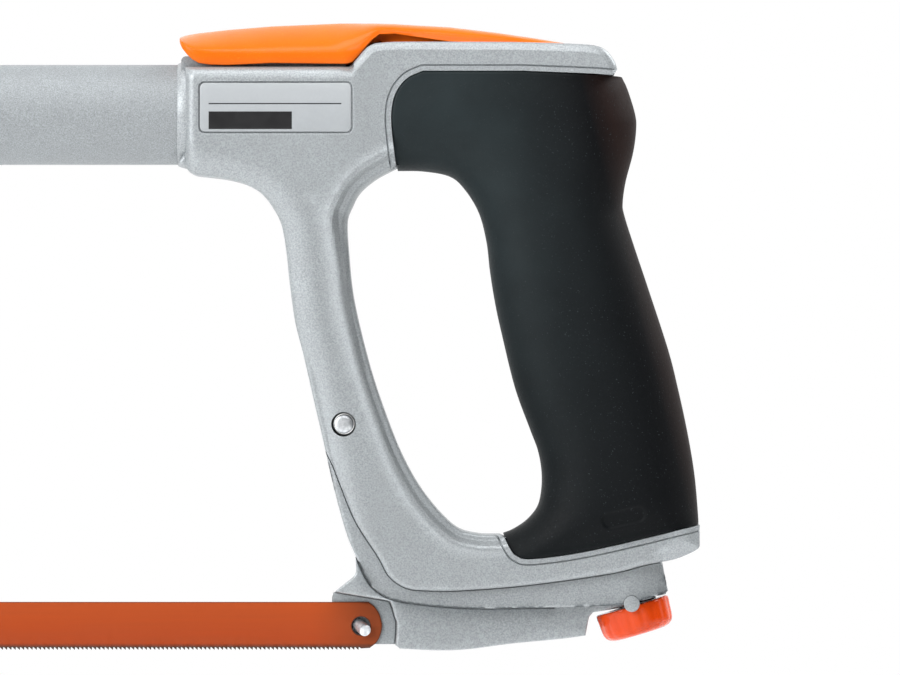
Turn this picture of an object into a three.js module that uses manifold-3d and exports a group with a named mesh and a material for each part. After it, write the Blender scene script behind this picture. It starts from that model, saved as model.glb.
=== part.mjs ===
// Hacksaw: a round top tube between two castings, a rubber grip, and a 300 mm blade that a lever on top
// and a knob under the grip put in tension through a rod inside the grip.
// Millimetres, +Z up. The front of the saw points to -X, the blade lies in the plane y = 0, and the origin
// is the middle of the hand grip. Outlines are [x, z] points in that plane, extruded along Y.
import * as THREE from 'three';
import { mergeVertices } from 'three/addons/utils/BufferGeometryUtils.js';
import Module from 'manifold-3d';

const wasm = await Module();
wasm.setup();

// Clearance left between neighbouring pieces, and the half length of a cut that goes right through
const GAP = 0.3;
const THROUGH = 20;

// Blade: standard 300 mm between the hole centres, 24 teeth per inch
const BLADE_SPAN = 300;
const BLADE_THICKNESS = 0.65;
const TOOTH_PITCH = 25.4 / 24;
const REAR_HOLE = [-53.75, -81.5];
const FRONT_HOLE = [REAR_HOLE[0] - BLADE_SPAN, REAR_HOLE[1]];
const HOLE_RADIUS = 2.3;
const BLADE_TOP = -75.5;
const TOOTH_ROOT = -86.9;
const TOOTH_TIP = -87.5;
const BLADE_PIN_RADIUS = 1.3;

// Top tube and its sockets
const TUBE_RADIUS = 12.5;
const TUBE_WALL = 2;
const TUBE_SIDES = 40;
const TUBE_Z = 46.25;
const TUBE_REAR = -55;
const TUBE_FRONT = -362;
const SOCKET_FACE = -97.25;
const FRONT_SOCKET_FACE = -328;
const FRONT_NOSE = -371;
const CROSS_PIN_RADIUS = 2.5;
const REAR_CROSS_PIN_X = -78;
const FRONT_CROSS_PIN_X = -345;

// Half widths along Y
const GRIP_HALF = 15;
const HEAD_HALF = 14.5;
const FRAME_HALF = 10.5;
const BAND_HALF = 9.2;
const ARM_HALF = 6;
const LEG_HALF = 3.5;
const CAVITY_HALF = 6.4;
const SKIRT_HALF = 10.5;
const FLANGE_HALF = 6;
const WEB_HALF = 5;
const EYE_HALF = 2;

// Label plates in recesses of the socket's flanks
const LABEL = { x0: -94, x1: -55.75, z0: 41.4, z1: 54.25, thickness: 0.5, recess: 0.7 };

// Tension gear: arm pivot, tail of the arm, and the rod's line, which leans back from the vertical
const ARM_PIVOT = [-58, -31];
const ARM_PIVOT_RADIUS = 2.3;
const ARM_TAIL = [13.75, -75.75];
const TAIL_DISC_RADIUS = 2;
const ROD_LEAN = THREE.MathUtils.degToRad(16.6);
const ROD_RADIUS = 2.5;
const LEVER_PIVOT_Z = 55;
const LEVER_PIVOT_RADIUS = 2;
const CRANK_RADIUS = 5;
const CROSSHEAD_RADIUS = 1.5;
const OVER_CENTRE = THREE.MathUtils.degToRad(8);
const TAIL_SWEEP = 25.9;
const KNOB_RADIUS = 9.4;
const KNOB_HEIGHT = 7.1;
const KNOB_DROP = 0.95;

const FINISHES = {
  casting: { color: 0xaeb2b4, roughness: 0.5, metalness: 0.6 },
  rubber: { color: 0x1b1e20, roughness: 0.75, metalness: 0 },
  leverPaint: { color: 0xf58220, roughness: 0.25, metalness: 0 },
  bladePaint: { color: 0xb5532a, roughness: 0.45, metalness: 0.2 },
  knobPlastic: { color: 0xe4492a, roughness: 0.2, metalness: 0 },
  steel: { color: 0xb8bcc0, roughness: 0.35, metalness: 0.9 },
  brass: { color: 0xb8923e, roughness: 0.4, metalness: 0.9 },
  nylon: { color: 0xdad8cf, roughness: 0.6, metalness: 0 },
  label: { color: 0xe6e8ea, roughness: 0.3, metalness: 0.3 },
};

const hacksaw = new THREE.Group();

// ---- Shapes and solids ----

// A stretch of an outline: a smooth curve through its points, or straight lines between them
const curve = (...points) => ({ points, smooth: true });
const line = (...points) => ({ points, smooth: false });

function outline(...stretches) {
  const shape = new THREE.Shape();
  const [start] = stretches[0].points;
  shape.moveTo(...start);
  for (const { points, smooth } of stretches) {
    const rest = points.filter((point) => point !== start);
    if (smooth) {
      shape.splineThru(rest.map(([x, z]) => new THREE.Vector2(x, z)));
    } else {
      rest.forEach((point) => shape.lineTo(...point));
    }
  }
  return shape;
}

// Any closed geometry as a solid that can be joined and cut
function solid(geometry) {
  geometry.deleteAttribute('normal');
  geometry.deleteAttribute('uv');
  const merged = mergeVertices(geometry, 1e-4);
  return new wasm.Manifold(new wasm.Mesh({
    numProp: 3,
    vertProperties: new Float32Array(merged.attributes.position.array),
    triVerts: new Uint32Array(merged.index.array),
  }));
}

// An outline extruded from y = low to y = high
function plate(shape, low, high, curveSegments = 2) {
  const settings = { depth: high - low, curveSegments, bevelEnabled: false };
  const geometry = new THREE.ExtrudeGeometry(shape, settings);
  geometry.translate(0, 0, -high);
  geometry.rotateX(Math.PI / 2);
  return solid(geometry);
}

// An outline extruded evenly to both sides of the blade's plane
function slab(shape, half, curveSegments = 2) {
  return plate(shape, -half, half, curveSegments);
}

// An outline's points moved inwards, each along the mean of its two edges' normals
function drawnIn(points, distance) {
  return points.map((point, i) => {
    const before = point.clone().sub(points.at(i - 1)).normalize();
    const after = points[(i + 1) % points.length].clone().sub(point).normalize();
    const stretch = distance / Math.max(0.5, 1 + before.dot(after));
    return new THREE.Vector2(
      point.x - (before.y + after.y) * stretch,
      point.y + (before.x + after.x) * stretch,
    );
  });
}

// The same slab with its side edges rounded, and drawn in all round by the inset
function roundedSlab(shape, half, round, inset = 0, curveSegments = 2) {
  const points = shape.extractPoints(curveSegments).shape;
  if (points.at(-1).distanceTo(points[0]) < 1e-6) {
    points.pop();
  }
  if (THREE.ShapeUtils.isClockWise(points)) {
    points.reverse();
  }
  const count = points.length;
  const levels = [[-half, 1], [0.3 * round - half, 0.3], [round - half, 0]];
  const rings = [...levels, ...levels.map(([y, draw]) => [-y, draw]).reverse()];
  const positions = rings.flatMap(([y, draw]) => (
    drawnIn(points, inset + draw * round).flatMap(({ x, y: z }) => [x, y, z])
  ));
  const cap = THREE.ShapeUtils.triangulateShape(points, []);
  const last = (rings.length - 1) * count;
  const triangles = cap.flatMap(([a, b, c]) => [a, b, c, last + a, last + c, last + b]);
  for (let i = 0; i < last; i += 1) {
    const next = i % count === count - 1 ? i + 1 - count : i + 1;
    triangles.push(i, i + count, next, next, i + count, next + count);
  }
  return new wasm.Manifold(new wasm.Mesh({
    numProp: 3,
    vertProperties: new Float32Array(positions),
    triVerts: new Uint32Array(triangles),
  }));
}

// A round bar between two points in space
function bar(radius, from, to, sides = 20) {
  const start = new THREE.Vector3(...from);
  const along = new THREE.Vector3(...to).sub(start);
  const geometry = new THREE.CylinderGeometry(radius, radius, along.length(), sides);
  geometry.translate(0, along.length() / 2, 0);
  const turn = new THREE.Quaternion().setFromUnitVectors(new THREE.Vector3(0, 1, 0), along.normalize());
  geometry.applyQuaternion(turn);
  geometry.translate(...from);
  return solid(geometry);
}

// A round bar across the saw, centred on the blade's plane
function crossBar(radius, [x, z], half, sides = 20) {
  return bar(radius, [x, -half, z], [x, half, z], sides);
}

function box(x0, x1, y0, y1, z0, z1) {
  const geometry = new THREE.BoxGeometry(x1 - x0, y1 - y0, z1 - z0);
  geometry.translate((x0 + x1) / 2, (y0 + y1) / 2, (z0 + z1) / 2);
  return solid(geometry);
}

// A turned piece: its profile is [radius, height] points, with the height measured up the rod's line
function turned(profile, sides) {
  const points = profile.map(([radius, height]) => new THREE.Vector2(radius, height));
  const geometry = new THREE.LatheGeometry(points, sides);
  geometry.rotateX(Math.PI / 2);
  geometry.rotateY(-ROD_LEAN);
  const [x, z] = ARM_TAIL;
  geometry.translate(x, 0, z);
  return solid(geometry);
}

function add(name, piece, finish) {
  const { vertProperties, triVerts } = piece.getMesh();
  const geometry = new THREE.BufferGeometry();
  geometry.setAttribute('position', new THREE.BufferAttribute(new Float32Array(vertProperties), 3));
  geometry.setIndex(new THREE.BufferAttribute(new Uint32Array(triVerts), 1));
  geometry.computeVertexNormals();
  const mesh = new THREE.Mesh(geometry, new THREE.MeshStandardMaterial(FINISHES[finish]));
  mesh.name = name;
  hacksaw.add(mesh);
}

// A point on the rod's line at a distance above the arm's tail, and beside it towards the rear
function onRod(distance, beside = 0) {
  const [x, z] = ARM_TAIL;
  const rise = distance * Math.cos(ROD_LEAN) + beside * Math.sin(ROD_LEAN);
  const run = beside * Math.cos(ROD_LEAN) - distance * Math.sin(ROD_LEAN);
  return [x + run, z + rise];
}

// The same point in space, in the blade's plane
function rodPoint(distance) {
  const [x, z] = onRod(distance);
  return [x, 0, z];
}

const LEVER_PIVOT_RISE = (LEVER_PIVOT_Z - ARM_TAIL[1]) / Math.cos(ROD_LEAN);
const LEVER_PIVOT = onRod(LEVER_PIVOT_RISE);
const CROSSHEAD_RISE = LEVER_PIVOT_RISE + CRANK_RADIUS * Math.cos(OVER_CENTRE);
const CROSSHEAD = onRod(CROSSHEAD_RISE, -CRANK_RADIUS * Math.sin(OVER_CENTRE));

// A point around the lever's pivot, with the angle counted from +X towards +Z
function aroundPivot(radius, degrees) {
  const angle = THREE.MathUtils.degToRad(degrees);
  return [LEVER_PIVOT[0] + radius * Math.cos(angle), LEVER_PIVOT[1] + radius * Math.sin(angle)];
}

// An arc around the lever's pivot, as points for a smooth stretch
function arcAroundPivot(radius, from, to, steps) {
  return Array.from({ length: steps + 1 }, (_, i) => aroundPivot(radius, from + (to - from) * (i / steps)));
}

// ---- Outlines that two pieces share ----

const STRUT_FRONT = [
  [-87.4, 30.1], [-78.75, 26.7], [-73.5, 18.75], [-71.5, 4.7], [-67.95, -14], [-63.6, -32.9],
  [-57.2, -58.5], [-54.8, -63.75],
];

// The line where the handle's base ends and the tension arm begins
const BASE_LOWER_EDGE = [
  [-52.15, -69.75], [-49.35, -72.9], [-44.45, -75], [-33.9, -76.4], [-14, -76.75], [4.2, -76.4],
  [11.8, -75.9],
];

const GRIP_FRONT = [
  [-27.75, 27.5], [-22.4, 14.55], [-20.25, -0.75], [-15.25, -22], [-9.5, -37.75], [-8.75, -47.9],
  [-12.4, -55], [-18.25, -58.25],
];

const CORE_FRONT = [[-41, 36], [-33, 34.2], [-25.5, 29.5], [-17.5, 4], [-13, -14], [-7, -34], [-5.6, -46]];
const CORE_REAR = [[27, -50], [20, -14], [10, 15], [8.3, 24], [11, 37], [11.6, 44], [9.5, 54]];

const gripOutline = outline(
  line([-44.55, 32.25]),
  curve([-31.5, 30.8], ...GRIP_FRONT),
  curve([-15.8, -62.8], [-10.75, -64.4], [4.2, -62.2], [30.7, -56]),
  curve([29.7, -43.6], [23, -12.5], [14.4, 13.6], [11.65, 24.3], [14.25, 36.75], [14.75, 46.3], [11.4, 55.6]),
  line([4.25, 56.1], [-13.5, 56.8], [-38.3, 56.8]),
  curve([-43.5, 53.5], [-46, 45.35], [-44.55, 32.25]),
);

const coreOutline = outline(
  line([-42, 60], [-42.5, 45]),
  curve(...CORE_FRONT),
  line([-9, -55], [-12, -70], [24, -66]),
  curve(...CORE_REAR),
  line([8, 60]),
);

// ---- Handle casting ----

// Strut, top strip, core and thick base in one outline
const frameOutline = outline(
  line([-56.5, 57.5]),
  curve([-53.5, 61], [-50.5, 62.9], [-44, 64.1]),
  line([-1.5, 63.75]),
  curve([4.75, 63.25], [9, 60], [10, 56]),
  line([9.5, 54]),
  curve([11.6, 44], [11, 37], [8.3, 24], [10, 15], [20, -14], [27, -50]),
  line([27.2, -57.3], [30.7, -56.4], [30.7, -61.6]),
  curve([24.9, -64.5], [8.3, -68.2], [-12.4, -71.1], [-37.4, -72.4], [-46.55, -69], [-55, -55.25],
    [-63, -35.5]),
  curve(...STRUT_FRONT.slice(0, 6).reverse()),
  line([-87.4, 57.5]),
);

const bandOutline = outline(
  line([-63.6, -32.9]),
  curve(...STRUT_FRONT.slice(6)),
  curve(...BASE_LOWER_EDGE),
  line([16.5, -74.75], [22.2, -73.2], [22.8, -72.4], [21.4, -64], [-30, -62]),
  curve([-45, -50], [-55, -30]),
);

const headOutline = outline(
  line([SOCKET_FACE, 58], [SOCKET_FACE, 31.5]),
  curve([-87.4, 30.1], [-78, 27.5], [-66, 24]),
  line([-50, 24], [-44, 30], [-44, 58]),
);

// The space the hand goes into, on the casting's side
const handOutline = outline(
  line([-44.55, 32.9]),
  curve([-53.9, 26.75], [-57.1, 19.5], [-55.5, 0.4], [-48.6, -25.45], [-37.8, -48.4], [-30.6, -56.25],
    [-19.15, -58.5]),
  curve(...GRIP_FRONT.map(([x, z]) => [x + 1.5, z]).reverse()),
  line([-29, 31], [-33, 32.9]),
);

// Slot in the top for the lever's tail, opening into the hollow of the core that the rod runs through
const hollowOutline = outline(
  line([-49.5, 70], [-49.5, 57.5], [-33, 54.5], [-31.8, 50], [-31.5, 41], [-24, 33.5]),
  line([-20, 20], [-9.3, -14], [-3.2, -33], [-1.8, -45], [20, -45], [16.5, -14], [6.5, 15], [4.6, 24]),
  line(...arcAroundPivot(TAIL_SWEEP, -36, 24, 6)),
  line([-1.2, 70]),
);

const legSlotOutline = outline(
  line([-62.5, -32.1], [-55.3, -60.5], [-55.3, -66], [-51, -80], [-42, -80], [-46.3, -62], [-53.4, -30.5]),
);

const tailCavityOutline = outline(
  line([-7.2, -80], [-7.2, -73], onRod(5, -8), onRod(5, 6.9), onRod(-6, 6.9)),
);

function labelRecess(side) {
  const floor = side * (HEAD_HALF - LABEL.recess);
  const [low, high] = side < 0 ? [-THROUGH, floor] : [floor, THROUGH];
  return box(LABEL.x0, LABEL.x1, low, high, LABEL.z0, LABEL.z1);
}

function handleCasting() {
  const gripSpace = slab(gripOutline, THROUGH, 3);
  const core = slab(coreOutline, FRAME_HALF, 3);
  const rib = box(-95, -50, -7.6, 7.6, 50, 62);
  return roundedSlab(headOutline, HEAD_HALF, 3)
    .add(slab(frameOutline, FRAME_HALF, 3))
    .add(slab(bandOutline, BAND_HALF))
    .add(rib)
    .subtract(gripSpace.subtract(core))
    .subtract(slab(handOutline, THROUGH, 3))
    .subtract(slab(hollowOutline, CAVITY_HALF))
    .subtract(bar(TUBE_RADIUS + GAP, [SOCKET_FACE - 1, 0, TUBE_Z], [TUBE_REAR + GAP, 0, TUBE_Z], TUBE_SIDES))
    .subtract(crossBar(CROSS_PIN_RADIUS + GAP, [REAR_CROSS_PIN_X, TUBE_Z], THROUGH))
    .subtract(labelRecess(-1))
    .subtract(labelRecess(1))
    .subtract(crossBar(LEVER_PIVOT_RADIUS + GAP, LEVER_PIVOT, 9.8))
    .subtract(slab(legSlotOutline, LEG_HALF + 0.4))
    .subtract(crossBar(4.55, ARM_PIVOT, LEG_HALF + 0.4))
    .subtract(crossBar(ARM_PIVOT_RADIUS + GAP, ARM_PIVOT, THROUGH))
    .subtract(slab(tailCavityOutline, ARM_HALF + GAP))
    .subtract(crossBar(TAIL_DISC_RADIUS, ARM_TAIL, THROUGH))
    .subtract(bar(ROD_RADIUS + 0.4, rodPoint(0), rodPoint(40)))
    .subtract(bar(4.3, rodPoint(0), rodPoint(14.3)));
}

// ---- Grip, tube and labels ----

function gripSleeve() {
  return roundedSlab(gripOutline, GRIP_HALF, 2.8, GAP, 3)
    .subtract(roundedSlab(coreOutline, FRAME_HALF + GAP, 0.01, -GAP, 3));
}

function topTube() {
  const bore = TUBE_RADIUS - TUBE_WALL;
  return bar(TUBE_RADIUS, [TUBE_FRONT, 0, TUBE_Z], [TUBE_REAR, 0, TUBE_Z], TUBE_SIDES)
    .subtract(bar(bore, [TUBE_FRONT - 1, 0, TUBE_Z], [TUBE_REAR + 1, 0, TUBE_Z], TUBE_SIDES))
    .subtract(crossBar(CROSS_PIN_RADIUS + GAP, [REAR_CROSS_PIN_X, TUBE_Z], THROUGH))
    .subtract(crossBar(CROSS_PIN_RADIUS + GAP, [FRONT_CROSS_PIN_X, TUBE_Z], THROUGH));
}

function labelPlate(side) {
  const margin = 0.25;
  const inner = HEAD_HALF - LABEL.recess + 0.05;
  const outer = inner + LABEL.thickness;
  const [low, high] = side < 0 ? [-outer, -inner] : [inner, outer];
  return box(LABEL.x0 + margin, LABEL.x1 - margin, low, high, LABEL.z0 + margin, LABEL.z1 - margin);
}

// ---- Blade seats, shared by the arm and the front casting ----

// Space for the blade's end on the near side of a seat; side is 1 at the rear and -1 at the front
function bladeSeat([x, z], side) {
  const edge = [[-10.5, 9.2], [-5.25, 8.4], [6.65, 6.45], [7.2, 6.2], [8.6, 2], [8.95, 1.25], [8.6, -4.75],
    [8.6, -9], [-10.5, -9]];
  const points = edge.map(([beside, above]) => [x + side * beside, z + above]);
  const seat = outline(line(...(side > 0 ? points : points.reverse())));
  return plate(seat, -THROUGH, BLADE_THICKNESS / 2 + 0.03);
}

// A blade pin leans away from the blade's middle and downwards, so that tension draws the blade in
function bladePin([x, z], side, radius, from, to) {
  const lean = [side * 0.5, -0.4];
  const start = side > 0 ? -0.15 : -0.5;
  const at = (y) => [x + start - lean[0] * y, y, z - lean[1] * y - 0.1];
  return bar(radius, at(from), at(to), 16);
}

// ---- Tension arm ----

function tensionArm() {
  const shoulder = BASE_LOWER_EDGE.slice(0, 5).map(([x, z]) => [x - GAP, z - GAP]);
  const body = outline(
    line([-55.1, -64.4]),
    curve(...shoulder),
    line([-5.6, -77.05], [-5.6, -74], [3.6, -73.7], onRod(3.2, -6.5), onRod(3.2, 6.3), onRod(-0.35, 6.3)),
    line(onRod(-0.35, -2.5), [4.2, -77.95], [3.1, -79.4], [2.3, -83.75]),
    curve([-16.5, -85.8], [-34, -87.5], [-44, -87]),
    line([-45.2, -86.1], [-61, -86.1], [-61, -75.5], [-60.05, -72.8], [-55, -68.5]),
  );
  const leg = outline(
    line([-62.06, -32.1], [-54, -60.5], [-54, -70], [-46.8, -75], [-47.2, -60.5], [-53.86, -30.3]),
  );
  const rodSlot = outline(line(onRod(-3, -2.9), onRod(-3, 4.8), onRod(6, 4.8), onRod(6, -2.9)));
  return slab(body, ARM_HALF)
    .add(slab(leg, LEG_HALF))
    .add(crossBar(4.2, ARM_PIVOT, LEG_HALF))
    .add(tailBar())
    .subtract(slab(rodSlot, ROD_RADIUS + 0.4))
    .subtract(bladeSeat(REAR_HOLE, 1))
    .subtract(crossBar(ARM_PIVOT_RADIUS + GAP, ARM_PIVOT, THROUGH))
    .subtract(bladePin(REAR_HOLE, 1, BLADE_PIN_RADIUS + GAP, 8, -8));
}

// The bar across the arm's tail, flat underneath for the knob, with a round disc at each end
function tailBar() {
  const flatSide = outline(line(onRod(-0.35, -4), onRod(-0.35, 4), onRod(-4, 4), onRod(-4, -4)));
  const disc = (side) => bar(
    TAIL_DISC_RADIUS,
    [ARM_TAIL[0], side * (BAND_HALF + 0.5), ARM_TAIL[1]],
    [ARM_TAIL[0], side * (BAND_HALF + 1.2), ARM_TAIL[1]],
  );
  return crossBar(1.6, ARM_TAIL, BAND_HALF + 0.8)
    .subtract(slab(flatSide, BAND_HALF + 0.5))
    .add(disc(-1))
    .add(disc(1));
}

// The arm's pivot pin, with a domed head on the near side
function armPivotPin() {
  const profile = [
    [0, -FRAME_HALF - 0.5], [1.3, -FRAME_HALF - 0.4], [2, -FRAME_HALF - 0.1],
    [ARM_PIVOT_RADIUS, -FRAME_HALF + 0.3], [ARM_PIVOT_RADIUS, FRAME_HALF], [0, FRAME_HALF],
  ];
  const geometry = new THREE.LatheGeometry(profile.map((point) => new THREE.Vector2(...point)), 20);
  const [x, z] = ARM_PIVOT;
  geometry.translate(x, 0, z);
  return solid(geometry);
}

// ---- Lever ----

function tensionLever() {
  const top = [[-92.25, 66.9], [-76, 68.4], [-59, 69.1], [-42.25, 68.8], [-27.75, 67.8], [-13.5, 65.9]];
  const front = outline(
    line([-98.85, 65.7]),
    curve(...top.slice(0, 3), [-50, 69.05]),
    line([-50, 65.7], [-51.5, 64.5]),
    line([-55.8, 59.2], [-57.2, 58.7], [-73, 58.9], [-94.6, 58.6]),
    curve([-97.6, 61], [-99, 64], [-98.85, 65.7]),
  );
  const inside = outline(
    line([-97, 50], [-97, 64.2]),
    curve([-76, 66.2], [-59, 66.9], [-45, 66.8]),
    line([-45, 50]),
  );
  const flange = outline(
    line([-53, 69.1]),
    curve(...top.slice(3), [-1.5, 63.9]),
    line([-2.5, 62.8]),
    curve([-16, 63.2], [-31.5, 64.5], [-45.3, 66.4]),
    line([-53, 66.4]),
  );
  const web = outline(
    line([-48.7, 67.5], [-48.7, 62], [-36, 56.5]),
    line(...arcAroundPivot(5.6, 165, 300, 6)),
    line([-14, 55.5], [-3.2, 62.9], [-14, 65.2], [-30, 67.2]),
  );
  const eyeSpace = crossBar(10.2, LEVER_PIVOT, EYE_HALF + 0.4, 32);
  return slab(front, SKIRT_HALF, 3)
    .subtract(slab(inside, SKIRT_HALF - 2, 3))
    .add(slab(flange, FLANGE_HALF, 3))
    .add(slab(web, WEB_HALF))
    .subtract(eyeSpace)
    .subtract(crossBar(LEVER_PIVOT_RADIUS + GAP, LEVER_PIVOT, THROUGH))
    .subtract(crossBar(CROSSHEAD_RADIUS + GAP, CROSSHEAD, THROUGH));
}

// ---- Rod, bush, washer and knob ----

// Stub pin that the lever turns on, from the hub's inner face into the core's wall
function leverPin(side) {
  const [x, z] = LEVER_PIVOT;
  return bar(LEVER_PIVOT_RADIUS, [x, side * (EYE_HALF + 0.5), z], [x, side * 9.5, z]);
}

// The rod hangs on the crosshead pin by a slotted eye: the pin swings sideways in it as the lever turns.
// Its head is a flat bar, so that it passes between the two stub pins that the lever turns on.
function tensionRod() {
  const neck = LEVER_PIVOT_RISE - 13;
  const head = outline(line(
    onRod(neck, -2.3), onRod(neck, 2.3), onRod(CROSSHEAD_RISE - 6, 2.3), onRod(CROSSHEAD_RISE - 3.5, 5.8),
    onRod(CROSSHEAD_RISE - 2, 6.9), onRod(CROSSHEAD_RISE + 1.5, 6.9), onRod(CROSSHEAD_RISE + 4.1, 4.2),
    onRod(CROSSHEAD_RISE + 4.1, -1.6), onRod(CROSSHEAD_RISE + 1.5, -4.3), onRod(CROSSHEAD_RISE - 2, -4.3),
    onRod(CROSSHEAD_RISE - 5, -2.3),
  ));
  const slot = outline(line(
    onRod(CROSSHEAD_RISE - 1.8, -2.5), onRod(CROSSHEAD_RISE - 1.8, 5.2),
    onRod(CROSSHEAD_RISE + 2.3, 5.2), onRod(CROSSHEAD_RISE + 2.3, -2.5),
  ));
  return slab(head, EYE_HALF)
    .subtract(slab(slot, 5))
    .add(bar(ROD_RADIUS, rodPoint(-5.4), rodPoint(neck + 2), 20));
}

const guideBush = () => turned([[2.7, 6], [4, 6], [4, 14], [2.7, 14], [2.7, 6]], 20);
const thrustWasher = () => turned([[2.8, -1.65], [5.6, -1.65], [5.6, -0.65], [2.8, -0.65], [2.8, -1.65]], 24);

function tensionKnob() {
  const top = -KNOB_DROP;
  const bottom = top - KNOB_HEIGHT;
  const pocket = bottom + 1;
  return turned([
    [0, bottom], [5.8, bottom], [7.6, bottom + 0.5], [KNOB_RADIUS, bottom + 2.6], [KNOB_RADIUS, top - 0.4],
    [KNOB_RADIUS - 0.4, top], [6, top], [6, top - 1], [4.5, top - 1], [4.5, pocket], [0, pocket],
  ], 32);
}

function knobNut() {
  const top = -KNOB_DROP - 1.3;
  const bottom = top - 3.4;
  return turned([[2.6, bottom], [4.2, bottom], [4.2, top], [2.6, top], [2.6, bottom]], 20);
}

// ---- Front casting ----

function frontCasting() {
  const head = outline(
    line([FRONT_SOCKET_FACE, 61], [FRONT_NOSE + 5, 61]),
    curve([FRONT_NOSE + 1, 58.5], [FRONT_NOSE, 53]),
    line([FRONT_NOSE, 38]),
    curve([FRONT_NOSE + 0.8, 33.5], [FRONT_NOSE + 4, 31.2]),
    line([FRONT_SOCKET_FACE, 31.2]),
  );
  const strut = outline(
    line([-371, 45]),
    line([-371, 36]),
    curve([-369.5, 22], [-365.5, -5], [-364, -35], [-365, -62], [-367.6, -76], [-368, -84], [-366.5, -87]),
    line([-362.3, -87.3], [-361.8, -86.1], [-346.5, -86.1], [-346.5, -75.5], [-347.4, -72.8]),
    curve([-351.5, -66], [-351.2, -50], [-348.8, -25], [-347.5, 2], [-345, 18], [-340, 27], [-332, 31.5]),
    line([-332, 45]),
  );
  const besideSeat = (side) => {
    const [low, high] = side < 0 ? [-THROUGH, -ARM_HALF] : [ARM_HALF, THROUGH];
    return box(-372, -344, low, high, -90, -70);
  };
  const blindBore = bar(
    TUBE_RADIUS + GAP,
    [TUBE_FRONT - GAP, 0, TUBE_Z],
    [FRONT_SOCKET_FACE + 1, 0, TUBE_Z],
    TUBE_SIDES,
  );
  return roundedSlab(head, GRIP_HALF, 3)
    .add(slab(strut, BAND_HALF, 3).subtract(besideSeat(1)).subtract(besideSeat(-1)))
    .subtract(blindBore)
    .subtract(bladeSeat(FRONT_HOLE, -1))
    .subtract(crossBar(CROSS_PIN_RADIUS + GAP, [FRONT_CROSS_PIN_X, TUBE_Z], THROUGH))
    .subtract(bladePin(FRONT_HOLE, -1, BLADE_PIN_RADIUS + GAP, 8, -8));
}

// ---- Blade ----

// Teeth point to the front of the saw: steep on the side they cut with, sloping behind
function toothLine(from, to) {
  const count = Math.floor((to - from) / TOOTH_PITCH);
  const teeth = Array.from({ length: count }, (_, i) => {
    const tip = from + i * TOOTH_PITCH;
    return [[tip, TOOTH_TIP], [tip + 0.78 * TOOTH_PITCH, TOOTH_ROOT]];
  });
  return teeth.flat();
}

function blade() {
  const end = [[5.25 - 3.4, BLADE_TOP], [3.85, -77.6], [5.25, -81.3], [4.3, -84.7], [1.9, -87]];
  const [rear, front] = [REAR_HOLE[0], FRONT_HOLE[0]];
  const rearEnd = end.map(([beside, z]) => [rear + beside, z]);
  const frontEnd = end.map(([beside, z]) => [front - beside, z]).reverse();
  const shape = outline(
    line(rearEnd[0]),
    line(...frontEnd.slice(-1)),
    curve(...frontEnd.slice(0, -1).reverse()),
    line(...toothLine(front - 1.2, rear + 1.6)),
    line(rearEnd[4]),
    curve(...rearEnd.slice(0, 4).reverse()),
  );
  for (const [x, z] of [REAR_HOLE, FRONT_HOLE]) {
    const hole = new THREE.Path();
    hole.absarc(x, z, HOLE_RADIUS, 0, 2 * Math.PI, true);
    shape.holes.push(hole);
  }
  return slab(shape, BLADE_THICKNESS / 2, 8);
}

// ---- Assembly ----

add('handle_casting', handleCasting(), 'casting');
add('grip_sleeve', gripSleeve(), 'rubber');
add('top_tube', topTube(), 'casting');
add('rear_cross_pin', crossBar(CROSS_PIN_RADIUS, [REAR_CROSS_PIN_X, TUBE_Z], 13.5), 'steel');
add('front_cross_pin', crossBar(CROSS_PIN_RADIUS, [FRONT_CROSS_PIN_X, TUBE_Z], 14.6), 'steel');
add('label_plate_near', labelPlate(-1), 'label');
add('label_plate_far', labelPlate(1), 'label');
add('front_casting', frontCasting(), 'casting');
add('front_blade_pin', bladePin(FRONT_HOLE, -1, BLADE_PIN_RADIUS, 5.4, -2.6), 'steel');
add('blade', blade(), 'bladePaint');
add('lever_pin_near', leverPin(-1), 'steel');
add('lever_pin_far', leverPin(1), 'steel');
add('tension_lever', tensionLever(), 'leverPaint');
add('crosshead_pin', crossBar(CROSSHEAD_RADIUS, CROSSHEAD, WEB_HALF - 0.1), 'steel');
add('tension_rod', tensionRod(), 'steel');
add('rod_guide_bush', guideBush(), 'nylon');
add('thrust_washer', thrustWasher(), 'steel');
add('tension_knob', tensionKnob(), 'knobPlastic');
add('knob_nut', knobNut(), 'brass');
add('arm_pivot_pin', armPivotPin(), 'steel');
add('tension_arm', tensionArm(), 'casting');
add('rear_blade_pin', bladePin(REAR_HOLE, 1, BLADE_PIN_RADIUS, 5.4, -2.6), 'steel');

export default hacksaw;
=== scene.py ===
"""Looks of the hacksaw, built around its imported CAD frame.

Outlines are (x, z) points in millimetres in the blade's plane, as in the CAD part: the front of the saw
points to -X, +Z is up, and the near side is -Y. Meshes are made in metres.
"""

import math

import bmesh
import bpy
import numpy as np
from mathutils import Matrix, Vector, kdtree
from mathutils.geometry import delaunay_2d_cdt


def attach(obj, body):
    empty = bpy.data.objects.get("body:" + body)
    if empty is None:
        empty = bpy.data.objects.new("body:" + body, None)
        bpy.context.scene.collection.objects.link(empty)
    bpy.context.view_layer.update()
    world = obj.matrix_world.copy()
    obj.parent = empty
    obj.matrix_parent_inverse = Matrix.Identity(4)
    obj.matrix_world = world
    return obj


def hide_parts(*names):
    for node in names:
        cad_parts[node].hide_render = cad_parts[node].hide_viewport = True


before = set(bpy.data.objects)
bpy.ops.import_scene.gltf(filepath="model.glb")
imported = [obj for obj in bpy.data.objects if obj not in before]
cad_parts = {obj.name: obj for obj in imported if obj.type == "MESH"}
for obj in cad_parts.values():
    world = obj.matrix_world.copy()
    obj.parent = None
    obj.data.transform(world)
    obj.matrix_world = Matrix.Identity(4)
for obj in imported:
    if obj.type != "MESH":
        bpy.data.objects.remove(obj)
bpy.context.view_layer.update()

MM = 0.001
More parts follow.
